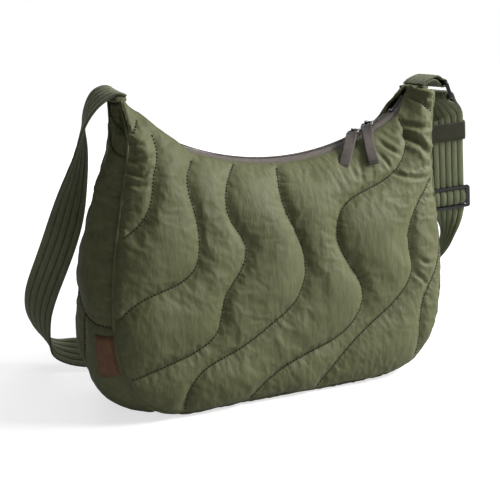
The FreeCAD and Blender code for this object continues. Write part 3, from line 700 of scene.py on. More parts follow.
MIRRORED = [[(-x, z) for x, z in line] for line in QUILTING]
FRONT = quilted_panel("front_cloth", -1, QUILTING)
BACK = quilted_panel("back_cloth", 1, MIRRORED)
SIDE = quilted_side()
CLOTHS = (FRONT, BACK, SIDE)
for piece in CLOTHS:
    obj = make(piece["name"], piece["points"], piece["faces"], "bag", SHELL_CLOTH)
    obj.parent = None
    piece["obj"] = obj


def swell_cloth(pieces, frames=16):
    """Blows the cloth up between its stitching, then keeps it within a few millimetres."""
    scene = bpy.context.scene
    for piece in pieces:
        obj = piece["obj"]
        group = obj.vertex_groups.new(name="held")
        group.add([int(i) for i in np.nonzero(piece["pinned"])[0]], 1.0, "REPLACE")
        cloth = obj.modifiers.new("cloth", "CLOTH")
        s = cloth.settings
        s.quality = 5
        s.mass = 0.3
        s.tension_stiffness = s.compression_stiffness = 14.0
        s.shear_stiffness = 5.0
        s.bending_stiffness = 0.08
        s.vertex_group_mass = "held"
        s.use_pressure = True
        s.uniform_pressure_force = 4.0
        s.shrink_min = -0.035
        s.effector_weights.gravity = 0.0
        cloth.collision_settings.use_collision = False
        cloth.point_cache.frame_start = 1
        cloth.point_cache.frame_end = frames
    for number in range(1, frames + 1):
        scene.frame_set(number)
    graph = bpy.context.evaluated_depsgraph_get()
    for piece in pieces:
        moved = coords(piece["obj"].evaluated_get(graph).data)
        shift = moved - piece["points"]
        far = np.linalg.norm(shift, axis=1)[:, None]
        limit = 4.0
        shift *= np.tanh(far / limit) * limit / np.maximum(far, 1e-9) * 0.6
        piece["points"] = piece["points"] + shift
    for piece in pieces:
        piece["obj"].modifiers.clear()
        set_coords(piece["obj"].data, piece["points"])
    scene.frame_set(1)


swell_cloth(CLOTHS)


def crease_lines(piece):
    """Keeps the stitched lines sharp through the subdivision."""
    mesh = piece["obj"].data
    pinned = piece["pinned"]
    ends = np.empty(len(mesh.edges) * 2, np.int32)
    mesh.edges.foreach_get("vertices", ends)
    both = pinned[ends.reshape(-1, 2)].all(1)
    layer = mesh.attributes.new("crease_edge", "FLOAT", "EDGE")
    layer.data.foreach_set("value", np.where(both, 0.55, 0.0).astype(np.float32))


def folds(gap, run, seed, pitch, reach, depth):
    """Short valleys running off a stitched line, deepest near it."""
    lean = noise(run / 40.0, 0.0 * run, seed + 5) * 0.5
    a = noise((run + lean * gap) / pitch, gap / 34.0, seed)
    b = noise((run - lean * gap) / (pitch * 0.6), gap / 20.0, seed + 2)
    valleys = np.exp(-(a / 0.30) ** 2) + 0.5 * np.exp(-(b / 0.32) ** 2)
    patchy = 0.6 + 0.4 * noise(run / 30.0, 0.0 * run, seed + 9)
    return -depth * valleys * patchy * np.exp(-gap / reach) * np.minimum(gap / 1.2 + 0.15, 1.0)


# Deeper folds of the front: points (x, z), depth, half width.
FRONT_FOLDS = [
    ([(157, 285), (170, 283), (186, 282)], 2.6, 3.0),
    ([(154, 274), (165, 268), (176, 258), (186, 250)], 4.6, 4.2),
    ([(132, 234), (150, 229), (176, 227)], 2.6, 2.6),
    ([(124, 267), (133, 260), (142, 254)], 2.2, 2.6),
    ([(119, 255), (125, 246), (128, 240)], 1.8, 2.4),
    ([(-180, 268), (-168, 267), (-152, 269)], 2.8, 3.0),
    ([(-184, 244), (-174, 243), (-162, 242)], 2.4, 2.6),
    ([(-177, 283), (-163, 284)], 2.0, 2.6),
    ([(-182, 257), (-170, 252), (-159, 259)], 2.2, 2.4),
    ([(66, 246), (68, 238), (71, 226)], 0.7, 2.4),
    ([(80, 250), (82, 242), (84, 230)], 0.8, 2.4),
    ([(94, 250), (93, 240), (90, 227)], 0.9, 2.4),
    ([(54, 244), (57, 233), (60, 220)], 0.6, 2.4),
    ([(108, 252), (105, 240), (106, 230)], 0.8, 2.4),
    ([(172, 205), (184, 203), (194, 204)], 1.6, 2.4),
    ([(158, 138), (170, 130), (180, 131)], 1.8, 2.6),
    ([(152, 122), (163, 112), (171, 104)], 2.0, 2.6),
    ([(160, 235), (172, 240), (188, 238)], 1.8, 2.6),
]


def settle(piece, p, flat, move, dark):
    """Moves the points along their normals, stores the painted shade for the materials, and keeps what the
    stitches need.
    """
    mesh = piece["obj"].data
    n = normals(mesh)
    p = p + n * move[:, None]
    p[:, 2] = np.maximum(p[:, 2], FLOOR_GAP)
    set_coords(mesh, p)
    shade(mesh, dark)
    piece["flat"] = flat
    piece["final"] = p
    piece["normals"] = n


def finish_panel(piece):
    """Subdivides, then adds puckers, gathers, folds and creases."""
    obj, side = piece["obj"], piece["side"]
    crease_lines(piece)
    subdivide(obj)
    mesh = obj.data
    p = coords(mesh)
    flat = p[:, [0, 2]]
    rim_gap, rim_run = nearest(flat, piece["loop"])
    rim_gap = np.where(inside(flat, piece["loop"]), rim_gap, 0.0)
    move = np.zeros(len(p))
    dark = np.zeros(len(p))
    free = np.ones(len(p))
    seed = 11 if side < 0 else 41
    for k, line in enumerate(piece["lines"]):
        gap, run = nearest(flat, line)
        move += folds(gap, run, seed + 3 * k, 6.5, 8.0, 0.95)
        # painted shade along each quilting line
        dark = np.maximum(dark, np.exp(-(gap / 1.3) ** 2))
        free = np.minimum(free, np.minimum(gap / 5.0, 1.0))
    on_seam = rim_run < SEAM_LENGTH
    upper = ease(p[:, 2], 150.0, 260.0)
    sides = ease(np.abs(p[:, 0]), 120.0, 175.0)
    gathered = np.where(on_seam, 0.4 + 0.75 * upper * sides, 0.10)
    move += folds(rim_gap, rim_run, seed + 60, 9.0, 14.0, 2.0) * gathered
    move += folds(rim_gap, rim_run, seed + 63, 16.0, 24.0, 2.4) * sides * upper * on_seam
    # painted shade along the seam
    dark = np.maximum(dark, np.exp(-(rim_gap / 1.5) ** 2) * 0.8)
    creases = noise(p[:, 0] / 5.0 + noise(p[:, 2] / 30.0, p[:, 0] / 20.0, 8) * 1.5, p[:, 2] / 17.0, 70)
    creases += 0.5 * noise(p[:, 0] / 2.8, p[:, 2] / 9.0, 72)
    move += 0.16 * creases * free
    move += 0.5 * noise(p[:, 0] / 24.0, p[:, 2] / 24.0, 75) * free
    if side < 0:
        for points, depth, width in FRONT_FOLDS:
            line = spline(points, 24)
            gap, run = nearest(flat, line)
            share = run / length_of(line)
            taper = np.sin(math.pi * np.clip(0.06 + 0.88 * share, 0.0, 1.0)) ** 0.6
            banks = 0.35 * np.exp(-((gap - 1.9 * width) / width) ** 2)
            move -= depth * taper * (np.exp(-(gap / width) ** 2) - banks)
    front = p[:, 1] * side > 0
    move = np.where(front, move, 0.0)
    settle(piece, p, flat, move, dark)


def finish_side(piece):
    """The same for the side panel, whose points keep their flat places through the subdivision."""
    obj = piece["obj"]
    wide = piece["wide"]
    crease_lines(piece)
    flat_layer = obj.data.attributes.new("flat_place", "FLOAT_VECTOR", "POINT")
    place = np.concatenate([piece["flat"], np.zeros((len(piece["flat"]), 1))], 1)
    flat_layer.data.foreach_set("vector", place.astype(np.float32).ravel())
    subdivide(obj)
    mesh = obj.data
    p = coords(mesh)
    place = np.empty(len(p) * 3, np.float32)
    mesh.attributes["flat_place"].data.foreach_get("vector", place)
    flat = place.reshape(-1, 3)[:, :2].astype(float)
    mesh.attributes.remove(mesh.attributes["flat_place"])
    move = np.zeros(len(p))
    dark = np.zeros(len(p))
    for k, line in enumerate(piece["lines"]):
        gap, run = nearest(flat, line)
        move += folds(gap, run, 130 + 3 * k, 6.0, 7.0, 0.9)
        # painted shade along each quilting line
        dark = np.maximum(dark, np.exp(-(gap / 1.3) ** 2))
    upright = 0.4 + 0.8 * ease(p[:, 2], 90.0, 230.0)
    for k, gap in enumerate((flat[:, 0], wide - flat[:, 0])):
        move += folds(gap, flat[:, 1], 170 + 7 * k, 11.0, 17.0, 2.6) * upright
        move += folds(gap, flat[:, 1], 176 + 7 * k, 6.0, 7.0, 1.6) * upright
        # painted shade along both seams
        dark = np.maximum(dark, np.exp(-(gap / 1.6) ** 2))
    move += 0.9 * noise(flat[:, 0] / 34.0, flat[:, 1] / 15.0, 190)
    move += 0.18 * noise(flat[:, 0] / 7.0, flat[:, 1] / 5.0, 192)
    settle(piece, p, flat, move, dark)


finish_panel(FRONT)
finish_panel(BACK)
finish_side(SIDE)
for piece, nodes in ((FRONT, ["front_panel"]), (BACK, ["back_panel"]), (SIDE, ["gusset"])):
    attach(piece["obj"], "bag")
    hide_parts(*nodes)


# ---------------------------------------------------------------- stitches
def stitch(centre, way, up, long, thick):
    """One stitch: a small rounded bead of thread."""
    side = np.cross(way, up)
    sections = []
    for t, r in ((-0.5, 0.35), (-0.3, 0.85), (0.0, 1.0), (0.3, 0.85), (0.5, 0.35)):
        ring = []
        for k in range(5):
            a = 2.0 * math.pi * k / 5.0
            ring.append(centre + way * t * long + (side * math.cos(a) + up * math.sin(a) * 0.7) * thick * r)
        sections.append(ring)
    return tube(sections)


def stitch_row(line, ups, pitch, long, thick):
    """Stitches at even steps along a line on a surface, whose outward directions are given."""
    parts = []
    run = run_of(line)
    for at in np.arange(pitch, run[-1] - pitch, pitch):
        centre = sample(at, run, line)
        way = unit(sample(at + 1.0, run, line) - centre)
        parts.append(stitch(centre, way, unit(sample(at, run, ups)), long, thick))
    return parts


def place_on(piece, line, lift):
    """The finished cloth's points nearest to a line drawn in its flat form."""
    found = []
    ups = []
    for q in line:
        gap = np.sum((piece["flat"] - q) ** 2, axis=1)
        if "side" in piece:
            gap = gap + np.where(piece["final"][:, 1] * piece["side"] > 10.0, 0.0, 1e6)
        near = np.argpartition(gap, 3)[:3]
        w = 1.0 / (gap[near] + 0.05)
        w /= w.sum()
        up = unit((piece["normals"][near] * w[:, None]).sum(0))
        found.append((piece["final"][near] * w[:, None]).sum(0) + up * lift)
        ups.append(up)
    return np.array(found), np.array(ups)


for piece, name in ((FRONT, "front_stitches"), (BACK, "back_stitches"), (SIDE, "side_stitches")):
    parts = []
    for line in piece["lines"]:
        at, ups = place_on(piece, line, 0.7)
        parts += stitch_row(at, ups, 3.8, 2.2, 0.95)
    points, faces = merge(parts)
    make(name, points, faces, "bag", THREAD)


# ---------------------------------------------------------------- rolled seam allowance
def seam_welt(name, side):
    """The gathered roll of cloth along a face's seam."""
    lengths = np.linspace(0.004, 0.996, 520) * SEAM_LENGTH
    p, n = seam_at(lengths)
    p[0] += (0.0, 5.0)
    p[-1] += (0.0, 4.0)
    depth = front_depth(p[:, 0], p[:, 1]) - 2.4
    depth[0], depth[-1] = depth[1] - 1.0, depth[-2] - 1.0
    sections = []
    for i, at in enumerate(lengths):
        size = 1.55 + 0.45 * float(noise(at / 4.5, 0.0, 210)) + 0.3 * float(noise(at / 11.0, 0.0, 212))
        ring = []
        for k in range(10):
            a = 2.0 * math.pi * k / 10.0
            out = 0.9 + size * math.cos(a)
            z = max(p[i, 1] + n[i, 1] * out, FLOOR_GAP)
            ring.append((p[i, 0] + n[i, 0] * out, side * (depth[i] + 1.15 * size * math.sin(a)), z))
        sections.append(ring[::-1] if side > 0 else ring)
    points, faces = tube(sections)
    return make(name, points, faces, "bag", SHELL_CLOTH)


seam_welt("front_welt", -1)
seam_welt("back_welt", 1)


# ---------------------------------------------------------------- lining and pocket
def ruled(side, inward):
    """A rippled grid inside a panel, from under the mouth down to the seam."""
    lip, rim = 9.0, 13.0
    grid = []
    for share in np.linspace(0.14, 0.86, 90):
        top = sample(share, np.linspace(0, 1, len(MOUTH)), MOUTH)
        low = sample(share, np.linspace(0, 1, len(SEAM)), SEAM)
        reach = np.linalg.norm(low - top)
        v = np.linspace(lip / reach, 1.0 - rim / reach, 40)[:, None]
        flat = top * (1 - v) + low * v
        ripple = 0.35 * noise(flat[:, 0] / 14.0, flat[:, 1] / 30.0, 200)
        y = side * (front_depth(flat[:, 0], flat[:, 1]) - inward - ripple)
        grid.append(np.stack([flat[:, 0], y, flat[:, 1]], 1))
    return np.array(grid)


def slab(grid, way, thick):
    """A closed thin slab from a grid of points."""
    n, m = grid.shape[:2]
    outer = grid.reshape(-1, 3)
    inner = (grid + way * thick).reshape(-1, 3)
    faces = grid_faces(n, m) + grid_faces(n, m, n * m, flip=True)
    edge = [i * m for i in range(n)] + [(n - 1) * m + j for j in range(1, m)]
    edge += [i * m + m - 1 for i in range(n - 2, -1, -1)] + [j for j in range(m - 2, 0, -1)]
    for a, b in zip(edge, edge[1:] + edge[:1]):
        faces.append((a, b, b + n * m, a + n * m))
    return np.concatenate([outer, inner]), faces


LINING_IN = SHELL + 0.4
for name, side in (("front_lining", -1), ("back_lining", 1)):
    points, faces = slab(ruled(side, LINING_IN + 0.4), np.array([0.0, -side, 0.0]), 0.6)
    obj = make(name + "_cloth", points, faces, "bag", LINING_CLOTH)
    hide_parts(name)

lengths = np.linspace(0.05, 0.95, 160) * SEAM_LENGTH
p, n = seam_at(lengths)
rows = []
for v in np.linspace(0.05, 0.95, 17):
    ripple = 0.3 * noise(lengths / 12.0, v * 6.0, 205)
    rows.append(side_point(lengths, np.full(160, v), -SHELL - 1.4 + ripple))
inward = -np.stack([n[:, 0], 0.0 * n[:, 0], n[:, 1]], 1)[None]
points, faces = slab(np.array(rows), inward, 0.6)
points[:, 2] = np.maximum(points[:, 2], 6.0)
obj = make("gusset_lining_cloth", points, faces, "bag", LINING_CLOTH)
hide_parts("gusset_lining")

xs, zs = np.meshgrid(np.linspace(-80.0, 80.0, 41), np.linspace(62.0, 176.0, 30), indexing="ij")
sag = 0.8 * np.sin(math.pi * (xs + 80.0) / 160.0) * (zs - 62.0) / 114.0
ys = front_depth(xs.ravel(), zs.ravel()).reshape(xs.shape) - LINING_IN - 1.6 - sag
points, faces = slab(np.stack([xs, ys, zs], 2), np.array([0.0, -1.0, 0.0]), 0.7)
obj = make("inner_pocket_cloth", points, faces, "bag", LINING_CLOTH)
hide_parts("inner_pocket")


# ---------------------------------------------------------------- zip
ACROSS_BAG = np.array([0.0, 1.0, 0.0])


def arc_frame(angle):
    """Along the zip, across the bag, out of the bag, and the place."""
    a = math.radians(angle)
    c, s = math.cos(a), math.sin(a)
    at = np.array([R_MOUTH * s, 0.0, Z_MOUTH - R_MOUTH * c])
    return np.array([c, 0, s]), ACROSS_BAG, np.array([-s, 0, c]), at


def mouth_frames(x0, x1, count):
    """Frames along the mouth between two x places."""
    keep = MOUTH[(MOUTH[:, 0] >= x0) & (MOUTH[:, 0] <= x1)]
    line = even(keep, count)
    frames = []
    for (x, z), (dx, dz) in zip(line, unit(np.gradient(line, axis=0))):
        frames.append((np.array([dx, 0, dz]), ACROSS_BAG, np.array([-dz, 0, dx]), np.array([x, 0, z])))
    return frames


def swept(profile, frames):
    return tube([[at + y * a + z * b for a, b in profile] for _, y, z, at in frames])


# A tape's section: (out from the zip's middle, up). It folds down inside the panel.
TAPE_PROFILE = [(0.9, 0.4), (3.0, 0.45), (6.2, 0.4), (9.0, -2.3), (12.4, -5.8),
                (12.0, -6.5), (8.6, -3.1), (5.8, -0.4), (3.0, -0.35), (0.9, -0.4)]
for name, side in (("front", -1), ("back", 1)):
    profile = [(side * across, rise) for across, rise in TAPE_PROFILE]
    if side > 0:
        profile = profile[::-1]
    points, faces = swept(profile, mouth_frames(-162.0, 173.5, 150))
    obj = make("tape_" + name, points, faces, "bag", TAPE_CLOTH)
    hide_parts("zip_tape_" + name)
    parts = []
    count = 216
    for k in range(count):
        angle = -31.0 + 62.0 * (k + (0.5 if side > 0 else 0.0)) / count
        x, y, z, at = arc_frame(angle)
        loop = []
        for t in range(8):
            a = 2.0 * math.pi * t / 8.0
            loop.append(at + y * side * (1.95 + 1.2 * math.cos(a)) + z * (1.25 + 0.62 * math.sin(a)))
        sections = []
        for off, grow in ((-0.56, 0.82), (-0.3, 1.0), (0.3, 1.0), (0.56, 0.82)):
            mid = np.mean(loop, axis=0)
            sections.append([mid + (q - mid) * grow + x * off for q in loop])
        if side < 0:
            sections = [s[::-1] for s in sections]
        parts.append(tube(sections))
    points, faces = merge(parts)
    obj = make("coil_" + name, points, faces, "bag", COIL_PLASTIC)
    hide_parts("zip_coil_" + name)


def bevelled(node, material, width):
    """Gives a CAD part its finish, and soft edges that catch the light."""
    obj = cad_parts[node]
    obj.data.materials.clear()
    obj.data.materials.append(material)
    modifier = obj.modifiers.new("edges", "BEVEL")
    modifier.width = width * MM
    modifier.segments = 3
    modifier.limit_method = "ANGLE"
    modifier.angle_limit = math.radians(35.0)


for node in ("zip_stop_left", "zip_stop_right", "slider_left", "slider_right"):
    bevelled(node, BLACK, 0.35)
for node in ("pull_loop_left", "pull_loop_right"):
    bevelled(node, BLACK, 0.4)
bevelled("triglide", BLACK, 0.7)
bevelled("ring", BLACK, 0.3)


# ---------------------------------------------------------------- ribbon pulls
def pull_frame(angle, heading):
    x, y, z, at = arc_frame(angle)
    at = at + z * BAR_LIFT
    h = math.radians(heading)
    return x * math.cos(h) + y * math.sin(h), -x * math.sin(h) + y * math.cos(h), z, at


# How each ribbon hangs: (out from the slider's bridge, down).
LEFT_DROP = [(17, 0.6), (22, 2.2), (26, 4.1), (30, 6.2), (34, 8.4), (38, 10.9), (42, 13.4), (46, 16.2),
             (50, 19.4), (54, 23.0)]
RIGHT_DROP = [(17, 1), (22, 3.3), (26, 5.6), (30, 8.2), (34, 11), (38, 14.2), (42, 17.6), (46, 21.6),
              (49.8, 25.8), (52.8, 30.2)]
FAR_BAR = 11.6


def ribbon(name, angle, heading, drop, body, drift):
    """Grosgrain folded round the pull loop's far bar, sewn across near its end."""
    x, y, z, at = pull_frame(angle, heading)
    path = spline([(FAR_BAR + 1.6, 0.05)] + list(drop), 90)
    way = unit(np.gradient(path, axis=0))
    run = run_of(path)
    half = 5.9
    count = len(path)
    widths = np.linspace(-1.0, 1.0, 9)
    parts = []
    for ply in (1, -1):
        rows_out = []
        rows_in = []
        for i in range(count):
            out, down = path[i]
            t = way[i]
            bank = min(max((out - 14.0) / 14.0, 0.0), 1.0) * 0.75
            d = y * -t[0] - z * t[1]
            w = x - z * bank
            w = unit(w - d * np.dot(w, d))
            up = np.cross(d, w)
            if np.dot(up, z) < 0:
                up = -up
            c = at - y * out - z * down + x * drift * (run[i] / run[-1]) ** 1.6
            open_up = 0.95 * math.exp(-run[i] / 5.0)
            rib = 0.5 + 0.5 * math.cos(2.0 * math.pi * run[i] / 1.9)
            sewn = math.exp(-((run[i] - run[-1] + 3.4) / 0.9) ** 2)
            fold = ease(run[i], run[-1] - 1.2, run[-1]) * 0.5
            mid = 0.62 + open_up - fold - 0.14 * sewn
            edge = half - 0.2 + 0.6 * rib
            wave = 0.3 * math.sin(run[i] / 6.0 + angle)
            face = [0.30 + 0.16 * rib * (1 - abs(q) ** 6) for q in widths]
            flat = [c + w * edge * q + up * wave * q for q in widths]
            rows_out.append([f + up * ply * (mid + h) for f, h in zip(flat, face)])
            rows_in.append([f + up * ply * (mid - 0.30) for f in flat])
        g = np.array(rows_out)
        h = np.array(rows_in)
        ring = np.concatenate([g, h[:, ::-1]], axis=1)
        if ply < 0:
            ring = ring[:, ::-1]
        parts.append(tube(ring))
    eye = []
    for k in range(19):
        a = math.radians(40.0 + 280.0 * k / 18.0)
        rib = 0.16 * (k % 2)
        row = []
        for r, qs in ((2.45 + rib, widths), (1.62, widths[::-1])):
            for q in qs:
                c = at - y * (FAR_BAR + r * math.cos(a)) + z * r * math.sin(a)
                row.append(c + x * half * q)
        eye.append(row)
    parts.append(tube(eye))
    points, faces = merge(parts)
    obj = make(name, points, faces, body, RIBBON_CLOTH)
    # painted shade across the sewn line
    dark = np.zeros(len(points))
    for part in range(2):
        for i in range(count):
            sewn = math.exp(-((run[i] - run[-1] + 3.4) / 0.8) ** 2)
            start = part * count * 18 + i * 18
            dark[start:start + 18] = sewn
    shade(obj.data, dark)
    return obj


obj = ribbon("grosgrain_left", LEFT_SLIDER, -46.0, LEFT_DROP, "ribbon_left", -9.0)
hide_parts("ribbon_pull_left")
obj = ribbon("grosgrain_right", RIGHT_SLIDER, -40.0, RIGHT_DROP, "ribbon_right", 1.0)
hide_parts("ribbon_pull_right")


# ---------------------------------------------------------------- straps
HALF = 19.0
GLIDE_AT = np.array([256.0, 11.5, 188.0])
STRETCH = unit((-17, -10.5, 98))
ACROSS = np.array([0.93, -0.34, 0.13])
ACROSS = unit(ACROSS - STRETCH * np.dot(ACROSS, STRETCH))
FACE = np.cross(ACROSS, STRETCH)
RING_TOP = np.array([217.0, 0, 330.0])
RING_LOW = np.array([224.5, 0, 313.5])
KEEPER_AT = 84.0


def stretch(d, n=0.0, w=0.0):
    """A place by the straight run of the strap: up from the triglide, off its face, and across."""
    return GLIDE_AT + STRETCH * d + FACE * n + ACROSS * w


# The strap's route from the left horn to the triglide: (centre, direction of its width).
LONG = [
    ((-173.5, 0, 329.6), (0, 0.99, 0.05)), ((-177, 0, 331.7), (0, 0.98, 0.10)),
    ((-181, 0.5, 332.8), (0, 0.98, 0.16)), ((-189, 2, 331.0), (0.05, 0.95, 0.28)),
    ((-197, 4, 325.5), (0.12, 0.93, 0.33)),
    ((-204, 7.5, 315), (0.20, 0.92, 0.34)), ((-209, 13, 298), (0.32, 0.93, 0.20)),
    ((-209.5, 23, 276), (0.55, 0.83, 0.08)), ((-209, 38, 252), (0.76, 0.64, 0.04)),
    ((-210, 56, 222), (0.94, 0.30, 0.0)), ((-212, 74, 191), (0.99, -0.10, -0.10)),
    ((-218, 95, 153), (0.89, -0.36, -0.28)), ((-226, 113, 118), (0.83, -0.50, -0.25)),
    ((-230, 127, 93), (0.73, -0.66, -0.16)), ((-230, 138, 71), (0.51, -0.86, -0.08)),
    ((-225.5, 148, 52), (0.26, -0.97, 0.0)), ((-219, 153, 37), (0.05, -0.99, -0.06)),
    ((-210, 152, 27), (-0.12, -0.95, -0.26)), ((-198, 145, 22), (-0.18, -0.84, -0.48)),
    ((-182, 133, 20), (-0.18, -0.68, -0.70)), ((-158, 121, 19.5), (-0.13, -0.58, -0.80)),
    ((-120, 111, 19.6), (-0.06, -0.50, -0.86)), ((-40, 105, 19.8), (0, -0.46, -0.88)),
    ((60, 104, 19.8), (0, -0.46, -0.88)), ((150, 107, 20), (0, -0.50, -0.86)),
    ((205, 102, 32), (-0.04, -0.70, -0.70)),
    ((236, 88, 58), (-0.14, -0.88, -0.46)), ((252, 66, 84), (-0.26, -0.93, -0.26)),
    ((260, 43, 106), (-0.25, -0.96, -0.10)), ((262.8, 27, 126), (-0.15, -0.98, 0.0)),
    ((262.3, 19.5, 143), (0.20, -0.97, 0.06)), ((261, 16.2, 156), (0.72, -0.68, 0.10)),
    ((259.6, 14.3, 166), (0.93, -0.36, 0.13)),
]
long_run = [(np.array(c, float), unit(w)) for c, w in LONG]
for d in (-15.5, 0.0, 25.0, 50.0, 75.0, 84.0, 93.0, 103.0):
    long_run.append((stretch(d), ACROSS))
EYE = 6.0
BEHIND = -2.8
BAR_WAY = np.array([0.0, -1.0, 0.0])
rise_to = RING_LOW + np.array([-EYE, 0, 0])
for share in (0.3, 0.6):
    w = ACROSS * (0.9 - share) + BAR_WAY * (share + 0.1)
    long_run.append((stretch(103.0) * (1 - share) + rise_to * share, w))
for turn in (180.0, 140.0, 90.0, 40.0, 0.0):
    a = math.radians(turn)
    long_run.append((RING_LOW + EYE * np.array([math.cos(a), 0, math.sin(a)]), BAR_WAY))
back_to = RING_LOW + np.array([EYE, 0, 0])
for share in (0.4, 0.7):
    w = BAR_WAY * (1.1 - share) + ACROSS * (share - 0.1)
    long_run.append((back_to * (1 - share) + stretch(103.0, BEHIND) * share, w))
for d in (103.0, 93.0, 84.0, 75.0, 50.0, 26.0):
    long_run.append((stretch(d, BEHIND), ACROSS))


def stations(path, step, turns=10):
    """Even stations along a strap, with its width turning smoothly."""
    centres = np.array([c for c, w in path])
    ways = unit([w for c, w in path])
    fine = spline(centres, 3000)
    marks = []
    total = length_of(fine)
    k = 0
    for c in centres:
        k = k + int(np.argmin(np.linalg.norm(fine[k:k + 900] - c, axis=1)))
        marks.append(total * k / (len(fine) - 1.0))
    marks[-1] = total
    count = int(total / step) + 1
    at = np.linspace(0.0, total, count)
    line = even(fine, count)
    w = sample(at, marks, ways)
    for _ in range(int(turns * (3.5 / step) ** 2)):
        w[1:-1] = w[:-2] * 0.25 + w[1:-1] * 0.5 + w[2:] * 0.25
    way = unit(np.gradient(line, axis=0))
    w = unit(w - way * np.sum(w * way, axis=1)[:, None])
    return line, w, np.cross(w, way), at


CHANNELS = 5


def ribs(q, full):
    """Half thickness of the padded strap across its width: five stuffed channels."""
    across = np.abs(q) / HALF
    place = (q + HALF) / (2.0 * HALF / CHANNELS)
    in_channel = 2.0 * (place - np.floor(np.clip(place, 0, CHANNELS - 1e-6))) - 1.0
    crown = np.sqrt(np.maximum(1.0 - in_channel ** 2, 0.0))
    return np.where(across > 0.999, 0.25, 0.35 + full * crown)


def strap_mesh(name, line, w, n, at, full, body, seed):
    """A flat padded strap: five channels between four rows of stitching."""
    q = []
    for c in range(CHANNELS):
        a = -HALF + c * 2.0 * HALF / CHANNELS
        for t in (0.0, 0.06, 0.16, 0.3, 0.5, 0.7, 0.84, 0.94):
            q.append(a + t * 2.0 * HALF / CHANNELS)
    q = np.array(q + [HALF])
    full = np.broadcast_to(full, at.shape)
    sections = []
    darks = []
    # painted shade in the stitched grooves between the channels
    groove = np.exp(-((np.mod(q + HALF + 1e-6, 2.0 * HALF / CHANNELS)) / 0.5) ** 2)
    groove = np.maximum(groove, groove[::-1])
    for i in range(len(at)):
        h = ribs(q, full[i])
        pinch = 1.0 + 0.10 * noise(at[i] / 6.0, q / 7.6, seed)
        top = line[i] + w[i] * q[:, None] + n[i] * (h * pinch)[:, None]
        low = line[i] + w[i] * q[:, None] - n[i] * (h * pinch)[:, None]
        sections.append(np.concatenate([top, low[::-1]]))
        darks.append(np.concatenate([groove, groove[::-1]]))
    points, faces = tube(sections)
    obj = make(name, points, faces, body, STRAP_CLOTH)
    shade(obj.data, np.concatenate(darks))
    return obj


line, w, n, at = stations(long_run, 2.2)
curl = (line[:, 0] > 200.0) * (1.0 - ease(line[:, 2], 138.0, 178.0)) * ease(line[:, 2], 55.0, 108.0)
w = w * (1.0 - 0.42 * curl)[:, None]
near_top = np.linalg.norm(line - stretch(60.0), axis=1) < 50.0
full = np.where(near_top, 0.95, 1.3)
for _ in range(8):
    full[1:-1] = (full[:-2] + full[1:-1] + full[2:]) / 3.0
strap = strap_mesh("padded_strap", line, w, n, at, full, "bag", 300)
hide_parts("shoulder_strap")
parts = []
for k in range(1, CHANNELS):
    q = -HALF + k * 2.0 * HALF / CHANNELS
    for sign in (1, -1):
        parts += stitch_row(line + w * q + n * sign * 0.42, n * sign, 3.4, 2.3, 0.3)
points, faces = merge(parts)
make("strap_stitches", points, faces, "bag", THREAD)

HOLD = 4.2
anchor = [(186, 0, 328.6), (190, 0, 332.0), (195, 0, 334.6), (202, 0, 337.2), (209, 0, 338.0)]
for turn in (100.0, 60.0, 20.0, -20.0, -60.0, -100.0):
    a = math.radians(turn)
    anchor.append(tuple(RING_TOP + HOLD * np.array([math.cos(a), 0, math.sin(a)])))
anchor += [(210, 0, 330.2), (204, 0, 333.6), (198, 0, 333.0), (191, 0, 329.4), (186, 0, 325.8)]
line, w, n, at = stations([(np.array(c, float), np.array([0, 1.0, 0])) for c in anchor], 1.2, 2)
obj = strap_mesh("anchor_webbing", line, w, n, at, 0.9, "bag", 310)
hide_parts("strap_anchor")

# The strap's own end: round the triglide's centre bar, then one ply upwards.
tail = [(50.0, -5.8), (38.0, -5.8), (24.0, -5.8), (12.0, -5.9), (6.0, -6.6), (2.0, -7.8), (-2.4, -7.8),
        (-4.0, -5.4), (-2.8, -3.0), (0.0, -2.75), (2.8, -3.0), (3.9, -4.4), (3.2, -6.2)]
line, w, n, at = stations([(stretch(d, z), ACROSS) for d, z in tail], 1.2, 2)
obj = strap_mesh("strap_end", line, w, n, at, 0.55, "triglide", 320)
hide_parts("strap_tail")

window = [(-9.6, 1.4), (-6.5, 2.5), (-2.5, 3.3), (2.5, 3.3), (6.5, 2.5), (9.6, 1.4)]
line, w, n, at = stations([(stretch(d, z), ACROSS) for d, z in window], 1.0, 2)
strap_mesh("strap_over_bar", line, w * 1.09, n, at, 1.2, "triglide", 330)

# ---------------------------------------------------------------- keeper
def rounded_loop(half_w, half_d, radius, count):
    """A rectangle with round corners, as even points."""
    points = []
    for cx, cy, a0 in ((1, 1, 0), (-1, 1, 90), (-1, -1, 180), (1, -1, 270)):
        for k in range(7):
            a = math.radians(a0 + 15.0 * k)
            round_off = (radius * math.cos(a), radius * math.sin(a))
            points.append((cx * (half_w - radius) + round_off[0], cy * (half_d - radius) + round_off[1]))
    points.append(points[0])
    return even(np.array(points), count + 1)[:-1]


